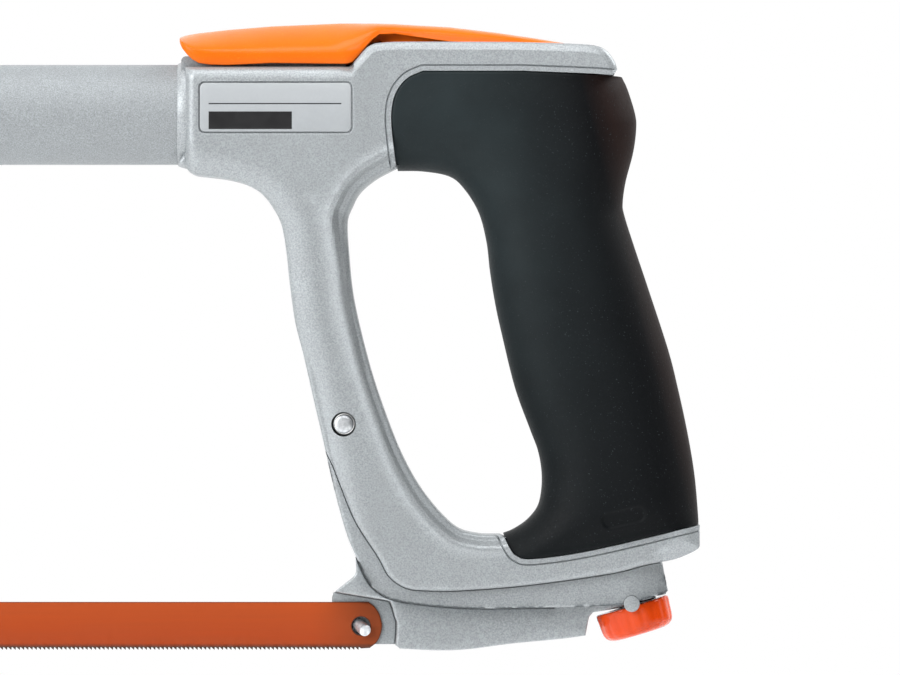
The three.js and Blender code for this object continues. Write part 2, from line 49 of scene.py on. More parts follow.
THROUGH = 20.0  # half length of a tool that cuts right across the saw

# Half widths across the saw
HEAD_HALF = 14.5
STRIP_HALF = 13.6
BAND_HALF = 9.9
POCKET_HALF = 7.2
GRIP_HALF = 15.0
ARM_HALF = 6.0
LEG_HALF = 3.5
CAVITY_HALF = 6.4

# Blade
HOLES = {"rear": (-53.75, -81.5), "front": (-353.75, -81.5)}
HOLE_RADIUS = 2.3
TOOTH_PITCH = 25.4 / 24
TOOTH_TIP = -87.5
TOOTH_ROOT = -86.85
BLADE_TOP = -75.5
BLADE_HALF = 0.325
BLADE_PIN_RADIUS = 1.6
PIN_LEAN = (0.5, -0.4)  # along and up, for each unit towards the near side, at the rear

# Tube and sockets
TUBE_RADIUS = 12.5
TUBE_BORE = 10.5
TUBE_Z = 46.25
TUBE_ENDS = (-362.0, -55.0)
TUBE_GAP = 0.2
SOCKET_FACE = -97.25
HEAD_FRONT = -97.4
HEAD_TOP = 58.0
CROSS_PIN_RADIUS = 2.5
CROSS_PINS = {"rear": -78.0, "front": -345.0}

# Label: recess in the head's flanks, and the plate in it
LABEL_X = (-94.0, -55.75)
LABEL_Z = (41.4, 54.25)
LABEL_RECESS = 0.7

# Tension gear
ARM_PIVOT = (-58.0, -31.0)
ARM_TAIL = (13.75, -75.75)
ROD_LEAN = math.radians(16.6)
LEVER_PIVOT = (-25.228, 55.0)
CROSSHEAD = (-27.308, 59.545)
KNOB_RADIUS = 9.4
KNOB_TOP = -0.6
KNOB_BOTTOM = -8.05
ROD_RADIUS = 2.5
LEVER_PIN_RADIUS = 2.0
CROSSHEAD_RADIUS = 1.5
TAIL_BAR_RADIUS = 1.6
PIN_GAP = 0.3


# ---- Lines in the blade's plane ----

def curve(*points, step=0.7):
    """Points every step along a smooth line through the given ones."""
    p = np.array(points, float)
    q = np.vstack([2 * p[0] - p[1], p, 2 * p[-1] - p[-2]])
    runs = []
    for a, b, c, d in zip(q, q[1:], q[2:], q[3:]):
        count = max(1, math.ceil(np.linalg.norm(c - b) / step))
        t = (np.arange(count) / count)[:, None]
        runs.append(
            b + (c - a) * t / 2 + (2 * a - 5 * b + 4 * c - d) * t**2 / 2 + (3 * b - a - 3 * c + d) * t**3 / 2
        )
    return np.vstack(runs + [p[-1:]])


def line(*points, step=0.7):
    """Points every step along straight stretches."""
    p = np.array(points, float)
    runs = []
    for a, b in zip(p, p[1:]):
        count = max(1, math.ceil(np.linalg.norm(b - a) / step))
        runs.append(a + (b - a) * (np.arange(count) / count)[:, None])
    return np.vstack(runs + [p[-1:]])


def circle(centre, radius, steps=48):
    angles = np.arange(steps) * 2 * math.pi / steps
    return np.array(centre) + radius * np.column_stack([np.cos(angles), np.sin(angles)])


def loop(*stretches):
    """A closed outline, counter-clockwise, from stretches that follow each other."""
    points = np.vstack(stretches)
    keep = np.linalg.norm(points - np.roll(points, 1, 0), axis=1) > 0.02
    points = points[keep]
    x, z = points.T
    turning = np.sum(x * np.roll(z, -1) - np.roll(x, -1) * z)
    return points if turning > 0 else points[::-1]


def rounded_box(x0, x1, z0, z1, radius, steps=8):
    """A rectangle with round corners; each corner is its centre and the angle where its arc starts."""
    corners = [(x1 - radius, z1 - radius, 0), (x0 + radius, z1 - radius, 90),
               (x0 + radius, z0 + radius, 180), (x1 - radius, z0 + radius, 270)]
    points = []
    for cx, cz, start in corners:
        for i in range(steps + 1):
            a = math.radians(start + 90 * i / steps)
            points.append((cx + radius * math.cos(a), cz + radius * math.sin(a)))
    return loop(line(*points, points[0]))


def closed(path):
    return np.vstack([path, path[:1]])


def ways(corners):
    """A closed outline with straight sides between the corners."""
    return loop(line(*corners, corners[0]))


def beside(path, distance, around=False):
    """The path moved sideways: to the left of its direction for a positive distance."""
    before = np.roll(path, 1, 0) if around else np.vstack([path[:1], path[:-1]])
    after = np.roll(path, -1, 0) if around else np.vstack([path[1:], path[-1:]])
    along = after - before
    along /= np.linalg.norm(along, axis=1)[:, None]
    return path + distance * np.column_stack([-along[:, 1], along[:, 0]])


def distance(points, path):
    """Shortest distance from each point to an open path."""
    a = path[:-1]
    ab = path[1:] - a
    length = np.maximum((ab**2).sum(1), 1e-12)
    best = np.empty(len(points))
    for part in np.array_split(np.arange(len(points)), max(1, len(points) // 2000)):
        p = points[part][:, None, :] - a
        t = np.clip((p * ab).sum(2) / length, 0, 1)
        best[part] = np.sqrt(((p - t[..., None] * ab) ** 2).sum(2).min(1))
    return best


def edge_distance(points, shape):
    """Shortest distance from each point to a closed outline."""
    return distance(points, closed(shape))


def depth_outside(points, shape):
    """Distance to a closed outline, negative inside it."""
    return np.where(inside(points, shape), -1, 1) * edge_distance(points, shape)


def inside(points, shape):
    """True for each point that lies inside a closed outline."""
    a, b = shape, np.roll(shape, -1, 0)
    result = np.empty(len(points), bool)
    for part in np.array_split(np.arange(len(points)), max(1, len(points) // 2000)):
        x, z = points[part].T[:, :, None]
        spans = (a[:, 1] > z) != (b[:, 1] > z)
        with np.errstate(divide="ignore", invalid="ignore"):
            meet = a[:, 0] + (z - a[:, 1]) * (b[:, 0] - a[:, 0]) / (b[:, 1] - a[:, 1])
        result[part] = (spans & (x < meet)).sum(1) % 2 == 1
    return result


def ease(t):
    """Rises smoothly from 0 to 1 as t does."""
    t = np.clip(t, 0, 1)
    return t * t * (3 - 2 * t)


def rounding(d, radius):
    """How far a rounded edge has fallen at a distance d from it."""
    reach = np.clip(radius - d, 0, radius)
    return radius - np.sqrt(radius**2 - reach**2)


def near_edge(d, reach):
    """1 at an edge, falling evenly to 0 at a distance d of reach."""
    return np.clip(1 - d / reach, 0, 1)


def ridge(d, middle, width):
    """A soft ridge, 1 high, that runs along an edge at the distance middle."""
    return np.exp(-(((d - middle) / width) ** 2))


# ---- Meshes ----

def new_object(name, vertices, faces):
    mesh = bpy.data.meshes.new(name)
    mesh.from_pydata([tuple(v) for v in np.asarray(vertices, float) * MM], [], [tuple(f) for f in faces])
    mesh.update()
    obj = bpy.data.objects.new(name, mesh)
    bpy.context.scene.collection.objects.link(obj)
    return obj


def runs_of(path, keep):
    """The unbroken stretches of a path where keep is true."""
    breaks = np.flatnonzero(np.diff(keep.astype(int))) + 1
    parts = zip(np.split(path, breaks), np.split(keep, breaks))
    return [part for part, kept in parts if kept[0] and len(part) > 1]


def fill(loops, rings, rows, spacing):
    """Triangles that fill the first loop less the others. Rings follow the loops at given distances inside,
    rows are further lines of points, and an even grid takes the rest."""
    edge = [closed(shape) for shape in loops]
    points, edges = [], []

    def add(path, around=False):
        start = len(points)
        points.extend(path.tolist())
        edges.extend((start + i, start + i + 1) for i in range(len(path) - 1))
        if around:
            edges.append((len(points) - 1, start))

    def within(p):
        ok = inside(p, loops[0])
        for hole in loops[1:]:
            ok &= ~inside(p, hole)
        return ok

    def clear(p):
        return np.min([distance(p, e) for e in edge], axis=0)

    for shape in loops:
        add(shape, True)
    for n, shape in enumerate(loops):
        for ring in rings:
            path = beside(shape, ring if n == 0 else -ring, True)
            for part in runs_of(path, within(path) & (clear(path) > 0.93 * ring)):
                add(part)
    for row in rows:
        for part in runs_of(row, within(row) & (clear(row) > 0.06)):
            add(part)
    tree = kdtree.KDTree(len(points))
    for i, (x, z) in enumerate(points):
        tree.insert((x, z, 0), i)
    tree.balance()
    low, high = loops[0].min(0), loops[0].max(0)
    xs, zs = np.arange(low[0], high[0], spacing), np.arange(low[1], high[1], spacing * 0.866)
    grid = np.array([(x + (j % 2) * spacing / 2, z) for j, z in enumerate(zs) for x in xs])
    grid = grid[within(grid)]
    room = np.array([tree.find((x, z, 0))[2] for x, z in grid]) if len(grid) else np.zeros(0)
    points.extend(grid[room > 0.55 * spacing].tolist() if len(grid) else [])
    flat, _, faces, *_ = delaunay_2d_cdt([Vector(p) for p in points], edges, [], 0, 1e-5, False)
    flat = np.array([tuple(p) for p in flat])
    faces = np.array([f for f in faces if len(f) == 3])
    return flat, faces[within(flat[faces].mean(1))]


def relief(name, loops, height, rings=(0.1, 0.3, 0.6, 1.0, 1.6, 2.4), rows=(), spacing=1.5, far=None):
    """A closed body, even about the blade's plane unless far gives its other side."""
    flat, faces = fill(loops, rings, rows, spacing)
    a, b, c = (flat[faces[:, i]] for i in range(3))
    turning = (b[:, 0] - a[:, 0]) * (c[:, 1] - a[:, 1]) - (b[:, 1] - a[:, 1]) * (c[:, 0] - a[:, 0])
    faces[turning < 0] = faces[turning < 0][:, ::-1]
    used, faces = np.unique(faces, return_inverse=True)
    flat, faces = flat[used], faces.reshape(-1, 3)
    count = len(flat)
    near_y = -height(flat)
    far_y = -near_y if far is None else far(flat)
    sides = [np.column_stack([flat[:, 0], y, flat[:, 1]]) for y in (near_y, far_y)]
    directed = {(int(f[i]), int(f[i - 2])) for f in faces for i in range(3)}
    walls = [(b, a, a + count, b + count) for a, b in directed if (b, a) not in directed]
    triangles = faces.tolist() + (faces[:, ::-1] + count).tolist()
    return new_object(name, np.vstack(sides), triangles + walls)


def prism(shape, low, high, name="tool"):
    """An outline extruded from y = low to y = high."""
    count = len(shape)
    vertices = [(x, y, z) for y in (low, high) for x, z in shape]
    walls = [((i + 1) % count, i, count + i, count + (i + 1) % count) for i in range(count)]
    ends = [tuple(range(count)), tuple(range(2 * count - 1, count - 1, -1))]
    return new_object(name, vertices, ends + walls)


def lathe(name, profile, centre, axis, steps=64):
    """A turned body. The profile is (radius, height) points, that end on the axis or close on themselves."""
    turn = Vector((0, 0, 1)).rotation_difference(Vector(axis)).to_matrix()
    rings = [[(r * math.cos(a), r * math.sin(a), h) for a in np.arange(steps) * 2 * math.pi / steps]
             for r, h in profile]
    vertices = [turn @ Vector(p) + Vector(centre) for ring in rings for p in ring]
    faces = []
    hollow = profile[0][0] > 0
    for j in range(len(profile) - (0 if hollow else 1)):
        k = (j + 1) % len(profile)
        for i in range(steps):
            n = (i + 1) % steps
            faces.append((j * steps + i, j * steps + n, k * steps + n, k * steps + i))
    obj = new_object(name, [tuple(v) for v in vertices], faces)
    tidy(obj)
    return obj


def tidy(obj):
    """Joins doubled points and turns every face outwards."""
    work = bmesh.new()
    work.from_mesh(obj.data)
    bmesh.ops.remove_doubles(work, verts=work.verts, dist=1e-7)
    bmesh.ops.dissolve_degenerate(work, edges=work.edges, dist=1e-8)
    bmesh.ops.recalc_face_normals(work, faces=work.faces)
    work.to_mesh(obj.data)
    work.free()


def rod(radius, start, end, name="tool", steps=48):
    start, end = Vector(start), Vector(end)
    length = (end - start).length
    return lathe(name, [(0, 0), (radius, 0), (radius, length), (0, length)], start, end - start, steps)


def cross_rod(radius, centre, half, name="tool", steps=48):
    x, z = centre
    return rod(radius, (x, -half, z), (x, half, z), name, steps)


def bevelled_pin(name, radius, start, end, bevel=0.4):
    start, end = Vector(start), Vector(end)
    length = (end - start).length
    rim = [(radius - bevel, 0), (radius - 0.3 * bevel, 0.25 * bevel), (radius, bevel)]
    profile = [(0, 0), *rim, *[(r, length - h) for r, h in reversed(rim)], (0, length)]
    return lathe(name, profile, start, end - start)


def combine(obj, tools, operation="DIFFERENCE"):
    """Cuts the tools out of a body, or joins them to it, and removes them."""
    for tool in tools:
        change = obj.modifiers.new("change", "BOOLEAN")
        change.operation = operation
        change.solver = "MANIFOLD"
        change.object = tool
        bpy.context.view_layer.update()
        evaluated = obj.evaluated_get(bpy.context.evaluated_depsgraph_get())
        mesh = bpy.data.meshes.new_from_object(evaluated)
        obj.modifiers.clear()
        obj.data = mesh
        bpy.data.objects.remove(tool)
    return obj


def mark(obj, name, values):
    """Stores one number for each point of a mesh, for its material to read."""
    attribute = obj.data.attributes.new(name, "FLOAT", "POINT")
    attribute.data.foreach_set("value", np.asarray(values, np.float32))


def plane_points(obj):
    """Where a mesh's points lie in the blade's plane, in millimetres."""
    count = len(obj.data.vertices)
    co = np.empty(count * 3)
    obj.data.vertices.foreach_get("co", co)
    return co.reshape(-1, 3)[:, [0, 2]] / MM


def place(obj, material, body, nodes, sharp=32):
    """Shades a finished piece, and hands it to its CAD body in place of its CAD nodes."""
    obj.data.materials.clear()
    obj.data.materials.append(material)
    obj.data.shade_smooth()
    obj.data.set_sharp_from_angle(angle=math.radians(sharp))
    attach(obj, body)
    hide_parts(*nodes)
    return obj


def on_rod(height, side=0.0):
    """A point on the tension rod's line, above the arm's tail, and beside it towards the rear."""
    rise = height * math.cos(ROD_LEAN) + side * math.sin(ROD_LEAN)
    run = side * math.cos(ROD_LEAN) - height * math.sin(ROD_LEAN)
    return ARM_TAIL[0] + run, ARM_TAIL[1] + rise


def rod_point(height):
    x, z = on_rod(height)
    return x, 0.0, z


ROD_AXIS = (-math.sin(ROD_LEAN), 0.0, math.cos(ROD_LEAN))


# ---- Outlines ----

HEAD_LOW = [(-99.4, 34.0), (-98.2, 33.6), (-97.1, 32.7), (-96.1, 31.6), (-94.6, 31.0), (-92.1, 30.7),
            (-87.4, 30.1)]
STRUT_FRONT = [(-82.6, 28.85), (-78.75, 26.7), (-75.9, 23.35), (-73.5, 18.75), (-72.25, 11.85),
               (-71.5, 4.7), (-70.1, -5.4), (-67.95, -14), (-65.35, -25.45), (-63.6, -32.9),
               (-60.05, -48.4), (-57.2, -58.5), (-55.0, -63.7)]
BASE_LOWER = [(-52.15, -69.75), (-49.35, -72.9), (-44.45, -75), (-33.9, -76.4), (-23.4, -76.9),
              (-14, -76.8), (4.2, -76.4), (11.8, -75.9)]
BAND_REAR = [(11.8, -75.9), (16.5, -74.75), (22.2, -73.3), (22.8, -72.4), (21.4, -65.3)]
BASE_REAR = [(21.4, -65.3), (24.9, -64.5), (28.4, -63.1), (30.4, -61.9), (30.7, -61.3)]
TOP_EDGE = [(-56.6, 58.1), (-55.3, 59.2), (-53.6, 61.2), (-52.2, 62.7), (-50.6, 63.6), (-48, 64), (-44, 64.2),
            (-30, 64.2), (-14, 64.1), (-1.5, 63.75), (4.75, 63.25), (7.6, 61.85), (9.5, 59.25), (10.1, 57.3)]
HAND_EDGE = [(-44.8, 32.9), (-50.05, 30.05), (-53.9, 26.75), (-55.8, 23.35), (-57.1, 19.5), (-56.75, 11.85),
             (-55.5, 0.4), (-52.15, -14), (-48.6, -25.45), (-43.55, -38.4), (-37.8, -48.4), (-30.6, -56.25),
             (-24.9, -58.3), (-19.15, -58.5)]
SEAM = [(-64.2, -33.4), (-63.2, -35.8), (-62.2, -38.2), (-60.5, -41.75), (-58.75, -46.25), (-55, -55.25),
        (-49.35, -64.1), (-46.55, -69), (-42.35, -71.8), (-37.4, -72.4), (-29, -72.4), (-12.4, -71.1),
        (8.3, -68.2), (16.6, -66.15), (21.4, -65.3)]

GRIP_FRONT = [(-44.55, 32.25), (-38, 32.1), (-31.5, 30.8), (-27.75, 27.5), (-24.3, 21.75), (-22.4, 14.55),
              (-21.5, 7), (-20.25, -0.75), (-18.6, -8.4), (-15.25, -22), (-11.4, -32.6), (-9.5, -37.75),
              (-8.6, -43.1), (-8.75, -47.9), (-9.75, -51.75), (-12.4, -55), (-15.75, -57.25),
              (-18.25, -58.25)]
GRIP_LOW = [(-18.25, -58.25), (-16.6, -61.6), (-14.9, -63.65), (-10.75, -64.4), (4.2, -62.2), (30.55, -56)]
GRIP_REAR = [(30.55, -56), (30.45, -53.6), (29.55, -43.6), (27.8, -33.1), (25.4, -22), (23, -12.5),
             (18.25, 2.1), (14.4, 13.6), (12, 21.25), (11.65, 24.3), (12.4, 29.6), (14.25, 36.75), (15, 42.5),
             (14.75, 46.3), (12.85, 52.5), (11.4, 55.6)]
GRIP_TOP = [(11.4, 55.6), (4.25, 56.1), (-13.5, 56.8), (-38.3, 56.8)]
GRIP_CORNER = [(-38.3, 56.8), (-42.15, 54.9), (-45, 51.1), (-46, 45.35), (-45.25, 36.75), (-44.55, 32.25)]

CORE_REAR = [(27.2, -57.0), (26, -50), (19, -14), (9, 15), (7.4, 24), (9.4, 37), (9.8, 44), (8.2, 54)]
CORE_FRONT = [(-6, -50), (-5.4, -44), (-7, -34), (-13, -14), (-17.5, 4), (-25.5, 28), (-33, 33.4),
              (-40, 35.6)]

grip_front, grip_low = curve(*GRIP_FRONT), curve(*GRIP_LOW)
grip_rear, grip_top, grip_corner = curve(*GRIP_REAR), line(*GRIP_TOP), curve(*GRIP_CORNER)
grip_loop = loop(grip_front, grip_low, grip_rear, grip_top, grip_corner)
front_edge = curve(*HEAD_LOW, *STRUT_FRONT)
base_lower = curve(STRUT_FRONT[-1], *BASE_LOWER)
hand_edge = curve(*HAND_EDGE)
top_edge = curve(*TOP_EDGE)
seam = curve(*SEAM)
label_loop = rounded_box(*LABEL_X, *LABEL_Z, 1.5)

casting_loop = loop(
    line((HEAD_FRONT, HEAD_TOP), (HEAD_FRONT, 36.8), HEAD_LOW[0]),
    front_edge, base_lower, line(*BAND_REAR), curve(*BASE_REAR),
    line(BASE_REAR[-1], (30.7, -56.15), CORE_REAR[0]), curve(*CORE_REAR), line(CORE_REAR[-1], TOP_EDGE[-1]),
    top_edge[::-1], line(TOP_EDGE[0], (HEAD_FRONT, HEAD_TOP)),
)
hand_loop = loop(hand_edge, line(HAND_EDGE[-1], (-17.3, -59.3), (-10.5, -57.5), CORE_FRONT[0]),
                 curve(*CORE_FRONT), line(CORE_FRONT[-1], HAND_EDGE[0]))
band_loop = loop(seam, line(*reversed(BAND_REAR)), base_lower[::-1],
                 curve(*STRUT_FRONT)[::-1], line(STRUT_FRONT[0], (-90, 0), (-66, -36)))


# ---- Handle casting ----

GROOVE_OFFSET = 1.55
GROOVE_HALF = 0.26
GROOVE_DEPTH = 0.5
SEAM_HALF = 0.24
SEAM_DEPTH = 0.8
SEAM_ROUNDING = 1.1
COLLAR_HALF = 7.4
rear_edge = line(*BAND_REAR[2:], *BASE_REAR, (30.7, -56.0))
rim_paths = [grip_low, np.vstack([grip_top, grip_corner])]


def seat_distance(points):
    """Distance to the grip's seat in the casting's rim."""
    return np.min([distance(points, path) for path in rim_paths], axis=0)


def flank_half(points):
    """Half width of the casting: widest at the head, a little less at the top strip, narrow in the strut."""
    x, z = points.T
    flank = np.interp(z, [-62, -45, -20, 4, 26], [12.2, 11.5, 11.3, 12.6, HEAD_HALF])
    return flank - (HEAD_HALF - STRIP_HALF) * ease((x + 62) / 18) * (z > 20)


def strut_fall(points):
    """The strut's soft front edge, with a faint hollow behind it."""
    z = points[:, 1]
    front = distance(points, front_edge)
    return 2.1 * near_edge(front, 6.5) ** 2 + 0.3 * ridge(front, 8.6, 1.6) * ease((z + 30) / 30) * (z < 26)


def hand_lip(points):
    """The hand opening's edge: a crest on the flank, a step down from it, and a rounded lip."""
    hand = distance(points, hand_edge)
    shoulder = np.interp(points[:, 1], [-50, -30, 8, 22], [2.2, 1.7, 1.7, 3.0])
    step = 1.9 * (1 - ease((hand - shoulder + 0.8) / 1.6))
    return step + 2.4 * near_edge(hand, 1.7) ** 2 - 0.55 * ridge(hand, shoulder + 1.5, 1.1)


def with_head(points, h):
    """Rounds the head's edges, and keeps its lowest front end as narrow as the collar."""
    x, z = points.T
    h = h - 0.75 * near_edge(distance(points, top_edge), 2.0)
    h -= np.where(x < -94, rounding(np.clip(x - HEAD_FRONT, 0, 9), 2.6), 0)
    h = np.where(x < HEAD_FRONT + 0.1, np.minimum(h, COLLAR_HALF), h)
    return h - np.where(x < -55.5, rounding(np.clip(HEAD_TOP - z, 0, 9), 3.2), 0)


def with_band(points, h):
    """Sets the band under the base back to its own width, with the seam's groove along its upper edge."""
    band = inside(points, band_loop)
    to_seam = distance(points, seam)
    band_half = BAND_HALF - 3.2 * np.clip((points[:, 0] - 12) / 10, 0, 1) ** 2
    rounded = h - np.minimum(rounding(to_seam, SEAM_ROUNDING), h - BAND_HALF - 0.2)
    return np.where(band, np.minimum(h, band_half) - SEAM_DEPTH * (1 - ease(to_seam / SEAM_HALF)), rounded)


def casting_height(points):
    h = with_head(points, flank_half(points) - strut_fall(points) - hand_lip(points))
    h = with_band(points, h - 2.4 * near_edge(distance(points, rear_edge), 5.0) ** 2)
    edge = np.minimum(edge_distance(points, casting_loop), edge_distance(points, hand_loop))
    pocket = depth_outside(points, grip_loop)
    edge_radius = np.where(pocket < 0.8, 0.2, np.where(points[:, 1] < -60, 0.5, 0.9))
    h -= rounding(edge, edge_radius)
    h -= GROOVE_DEPTH * (1 - ease(np.abs(seat_distance(points) - GROOVE_OFFSET) / GROOVE_HALF))
    h = np.where(pocket < 0.12, POCKET_HALF, h)
    label = depth_outside(points, label_loop)
    return np.where(label < 0, HEAD_HALF - LABEL_RECESS, h - rounding(np.clip(label, 0, 9), 0.25))


def casting_rows():
    """Lines of points that follow the seam, the engraved line, the label's edge and the top edge."""
    groove = [-GROOVE_OFFSET + k * GROOVE_HALF for k in (-1, -0.5, 0, 0.5, 1)]
    rows = [beside(seam, d) for d in (-0.6, -0.26, -0.12, -0.02, 0.02, 0.12, 0.26, 0.6, 1.1, 1.6)]
    rows += [beside(path, d) for path in rim_paths for d in (-0.4, -0.16, -0.08, *groove)]
    rows += [closed(beside(label_loop, d, True)) for d in (0.06, 0.0, -0.08, -0.25, -0.6)]
    rows += [beside(top_edge, -d) for d in (1.8, 2.0, 2.2)]
    return rows


def casting_cavities():
    """Cutters for the grip's hollow, the arm's slots, and the bores for the tube, pins, rod and bush."""
    hollow = ways([(-49.5, 70), (-49.5, 57.5), (-33, 54.5), (-31.8, 50), (-31.5, 41), (-24, 33.5), (-20, 20),
                   (-9.3, -14), (-3.2, -33), (-1.8, -45), (18, -45), (15, -14), (5.5, 15), (3.8, 24),
                   (-4, 40), (-1, 52), (-0.6, 63), (-1.2, 70)])
    leg_slot = ways([(-62.5, -32.1), (-55.3, -60.5), (-55.3, -66), (-51, -80), (-42, -80), (-46.3, -62),
                     (-53.4, -30.5)])
    tail = ways([(-7.2, -80), (-7.2, -73), on_rod(5, -8), on_rod(5, 6.9), on_rod(-6, 6.9)])
    slot_half, tail_half = LEG_HALF + 0.4, CAVITY_HALF - 0.1
    tube_from, tube_to = (SOCKET_FACE - 4, 0, TUBE_Z), (TUBE_ENDS[1] + PIN_GAP, 0, TUBE_Z)
    return [
        prism(hollow, -CAVITY_HALF, CAVITY_HALF),
        rod(TUBE_RADIUS + TUBE_GAP, tube_from, tube_to, steps=96),
        cross_rod(CROSS_PIN_RADIUS + PIN_GAP, (CROSS_PINS["rear"], TUBE_Z), THROUGH),
        cross_rod(LEVER_PIN_RADIUS + PIN_GAP, LEVER_PIVOT, 9.6),
        prism(leg_slot, -slot_half, slot_half),
        cross_rod(4.55, ARM_PIVOT, slot_half),
        cross_rod(3.05, ARM_PIVOT, THROUGH),
        prism(tail, -tail_half, tail_half),
        cross_rod(2.1, ARM_TAIL, THROUGH),
        rod(2.9, rod_point(0), rod_point(40)),
        rod(4.3, rod_point(0), rod_point(14.3)),
    ]


def handle_casting():
    body = relief("handle_casting_looks", [casting_loop, hand_loop], casting_height,
                  rings=(0.08, 0.22, 0.45, 0.75, 1.1, 1.6, 2.1, 2.6, 3.1, 3.7, 4.4, 5.2),
                  rows=casting_rows(), spacing=1.4)
    profile = [(12.4, 0), (12.75, 0), (12.95, 0.25), (13.2, 0.9), (13.5, 2), (13.5, 4), (12.4, 4)]
    collar = lathe("collar", profile, (SOCKET_FACE - 2.2, 0, TUBE_Z), (1, 0, 0), 96)
    nose = prism(rounded_box(-98.5, -57.5, 54, 60.7, 1.2), -7.5, 7.5)
    combine(body, [collar, nose], "UNION")
    return combine(body, casting_cavities())


# ---- Rubber grip ----

GRIP_EDGE = 3.0  # half width where the rounded sides start
GRIP_REACH = 17.0  # how far the sides' rounding reaches in from the edge
SLOT_ENDS = [(8.3, -54.9), (15.1, -53.4)]
SLOT_RADIUS = 1.9
SLOT_DEPTH = 0.5


def stadium(ends, radius, steps=24):
    """The outline at one distance all round a straight line."""
    (ax, az), (bx, bz) = ends
    along = math.atan2(bz - az, bx - ax)
    turns = [math.pi * i / steps - math.pi / 2 + along for i in range(steps + 1)]
    far = [(bx + radius * math.cos(t), bz + radius * math.sin(t)) for t in turns]
    near = [(ax - radius * math.cos(t), az - radius * math.sin(t)) for t in turns]
    return np.array(far + near)


def grip_height(points):
    free = np.minimum(distance(points, grip_front), distance(points, grip_rear))
    seat = seat_distance(points)
    across = GRIP_EDGE + (GRIP_HALF - GRIP_EDGE) * np.sqrt(1 - near_edge(free, GRIP_REACH) ** 2)
    low_seat = np.interp(points[:, 1], [-60, -40], [12.9, 14.0])
    rim = low_seat + (GRIP_HALF - low_seat) * ease(seat / 9) - rounding(seat, 0.7)
    blend = 0.6 * np.exp(-np.abs(across - rim) / 1.2)
    slot = distance(points, line(*SLOT_ENDS)) - SLOT_RADIUS
    return np.minimum(across, rim) - blend - SLOT_DEPTH * (1 - ease(slot / 0.9 + 0.5))


def grip_sleeve():
    slot_rows = [line(*closed(stadium(SLOT_ENDS, SLOT_RADIUS + d)), step=0.5)
                 for d in (-0.9, -0.45, -0.2, 0, 0.2, 0.45, 0.9)]
    body = relief("grip_sleeve_looks", [grip_loop], grip_height,
                  rings=(0.05, 0.13, 0.27, 0.5, 0.8, 1.2, 1.8, 2.6, 3.6, 4.9, 6.5, 8.4, 10.6, 13.0, 15.5),
                  rows=slot_rows, spacing=1.6)
    core = loop(line((-47, 58), (-44.5, 40), (-41, 35)), curve(*CORE_FRONT)[::-1],
                line(CORE_FRONT[0], (-10.5, -57.5), (-14, -66), (30.5, -66), CORE_REAR[0]),
                curve(*CORE_REAR), line(CORE_REAR[-1], (10, 58), (-47, 58)))
    return combine(body, [prism(beside(core, -0.15, True), -POCKET_HALF - 0.1, POCKET_HALF + 0.1)])


# ---- Tension arm ----

ARM_FRONT = [(-55.05, -64.25), (-55.1, -68.4), (-57.6, -70.8), (-60.05, -72.8), (-60.9, -74), (-61, -75.5)]
ARM_UPPER = [(-55.05, -64.25), (-52.4, -69.95), (-49.55, -73.1), (-44.6, -75.2), (-34.0, -76.6),
             (-23.4, -77.1), (-14.3, -77.0), (-5.6, -76.85)]
ARM_LOWER = [(2.3, -83.75), (-4.1, -84.6), (-16.5, -85.8), (-26.5, -87.1), (-34, -87.45), (-44, -87.0)]
SEAT_TRENCH = 1.6


def arm_height(points):
    seat = edge_distance(points, seat_loop("rear"))
    return ARM_HALF - rounding(edge_distance(points, arm_loop), 0.45) - rounding(seat, 0.8)


def way_of(end):
    """1 at the saw's rear, and -1 at its front, where the same shapes are mirrored."""
    return 1 if end == "rear" else -1


def seat_loop(end):
    """Space for the blade's end in its seat."""
    x, z = HOLES[end]
    corners = [(-10.5, 9.2), (-5.25, 8.4), (6.65, 6.45), (7.3, 6.15), (7.9, 4.6), (8.6, 2), (8.95, 1.25),
               (8.9, -1.5), (8.6, -4.75), (8.6, -9), (-10.5, -9)]
    return ways([(x + way_of(end) * along, z + up) for along, up in corners])


def blade_pin(end, radius, start, stop, name="tool"):
    """A blade pin leans away from the blade's middle and down, so that tension draws the blade in."""
    x, z = HOLES[end]
    lean_x, lean_z = way_of(end) * PIN_LEAN[0], PIN_LEAN[1]
    shift = -0.15 if end == "rear" else -0.5
    ends = [(x + shift - lean_x * y, y, z - lean_z * y - 0.1) for y in (start, stop)]
    return bevelled_pin(name, radius, *ends, bevel=0.15)


arm_loop = loop(
    curve(*ARM_UPPER),
    line(ARM_UPPER[-1], (-5.6, -74), (3.6, -73.7), on_rod(3.2, -6.5), on_rod(3.2, 6.3), on_rod(-0.35, 6.3),
         on_rod(-0.35, -2.5), (4.2, -77.95)),
    curve((4.2, -77.95), (3.3, -79.0), (3.0, -80), (2.3, -83.75)),
    curve(*ARM_LOWER), line((-44, -87), (-45.2, -86.1), (-61, -86.1), (-61, -75.5)),
    curve(*reversed(ARM_FRONT)),
)


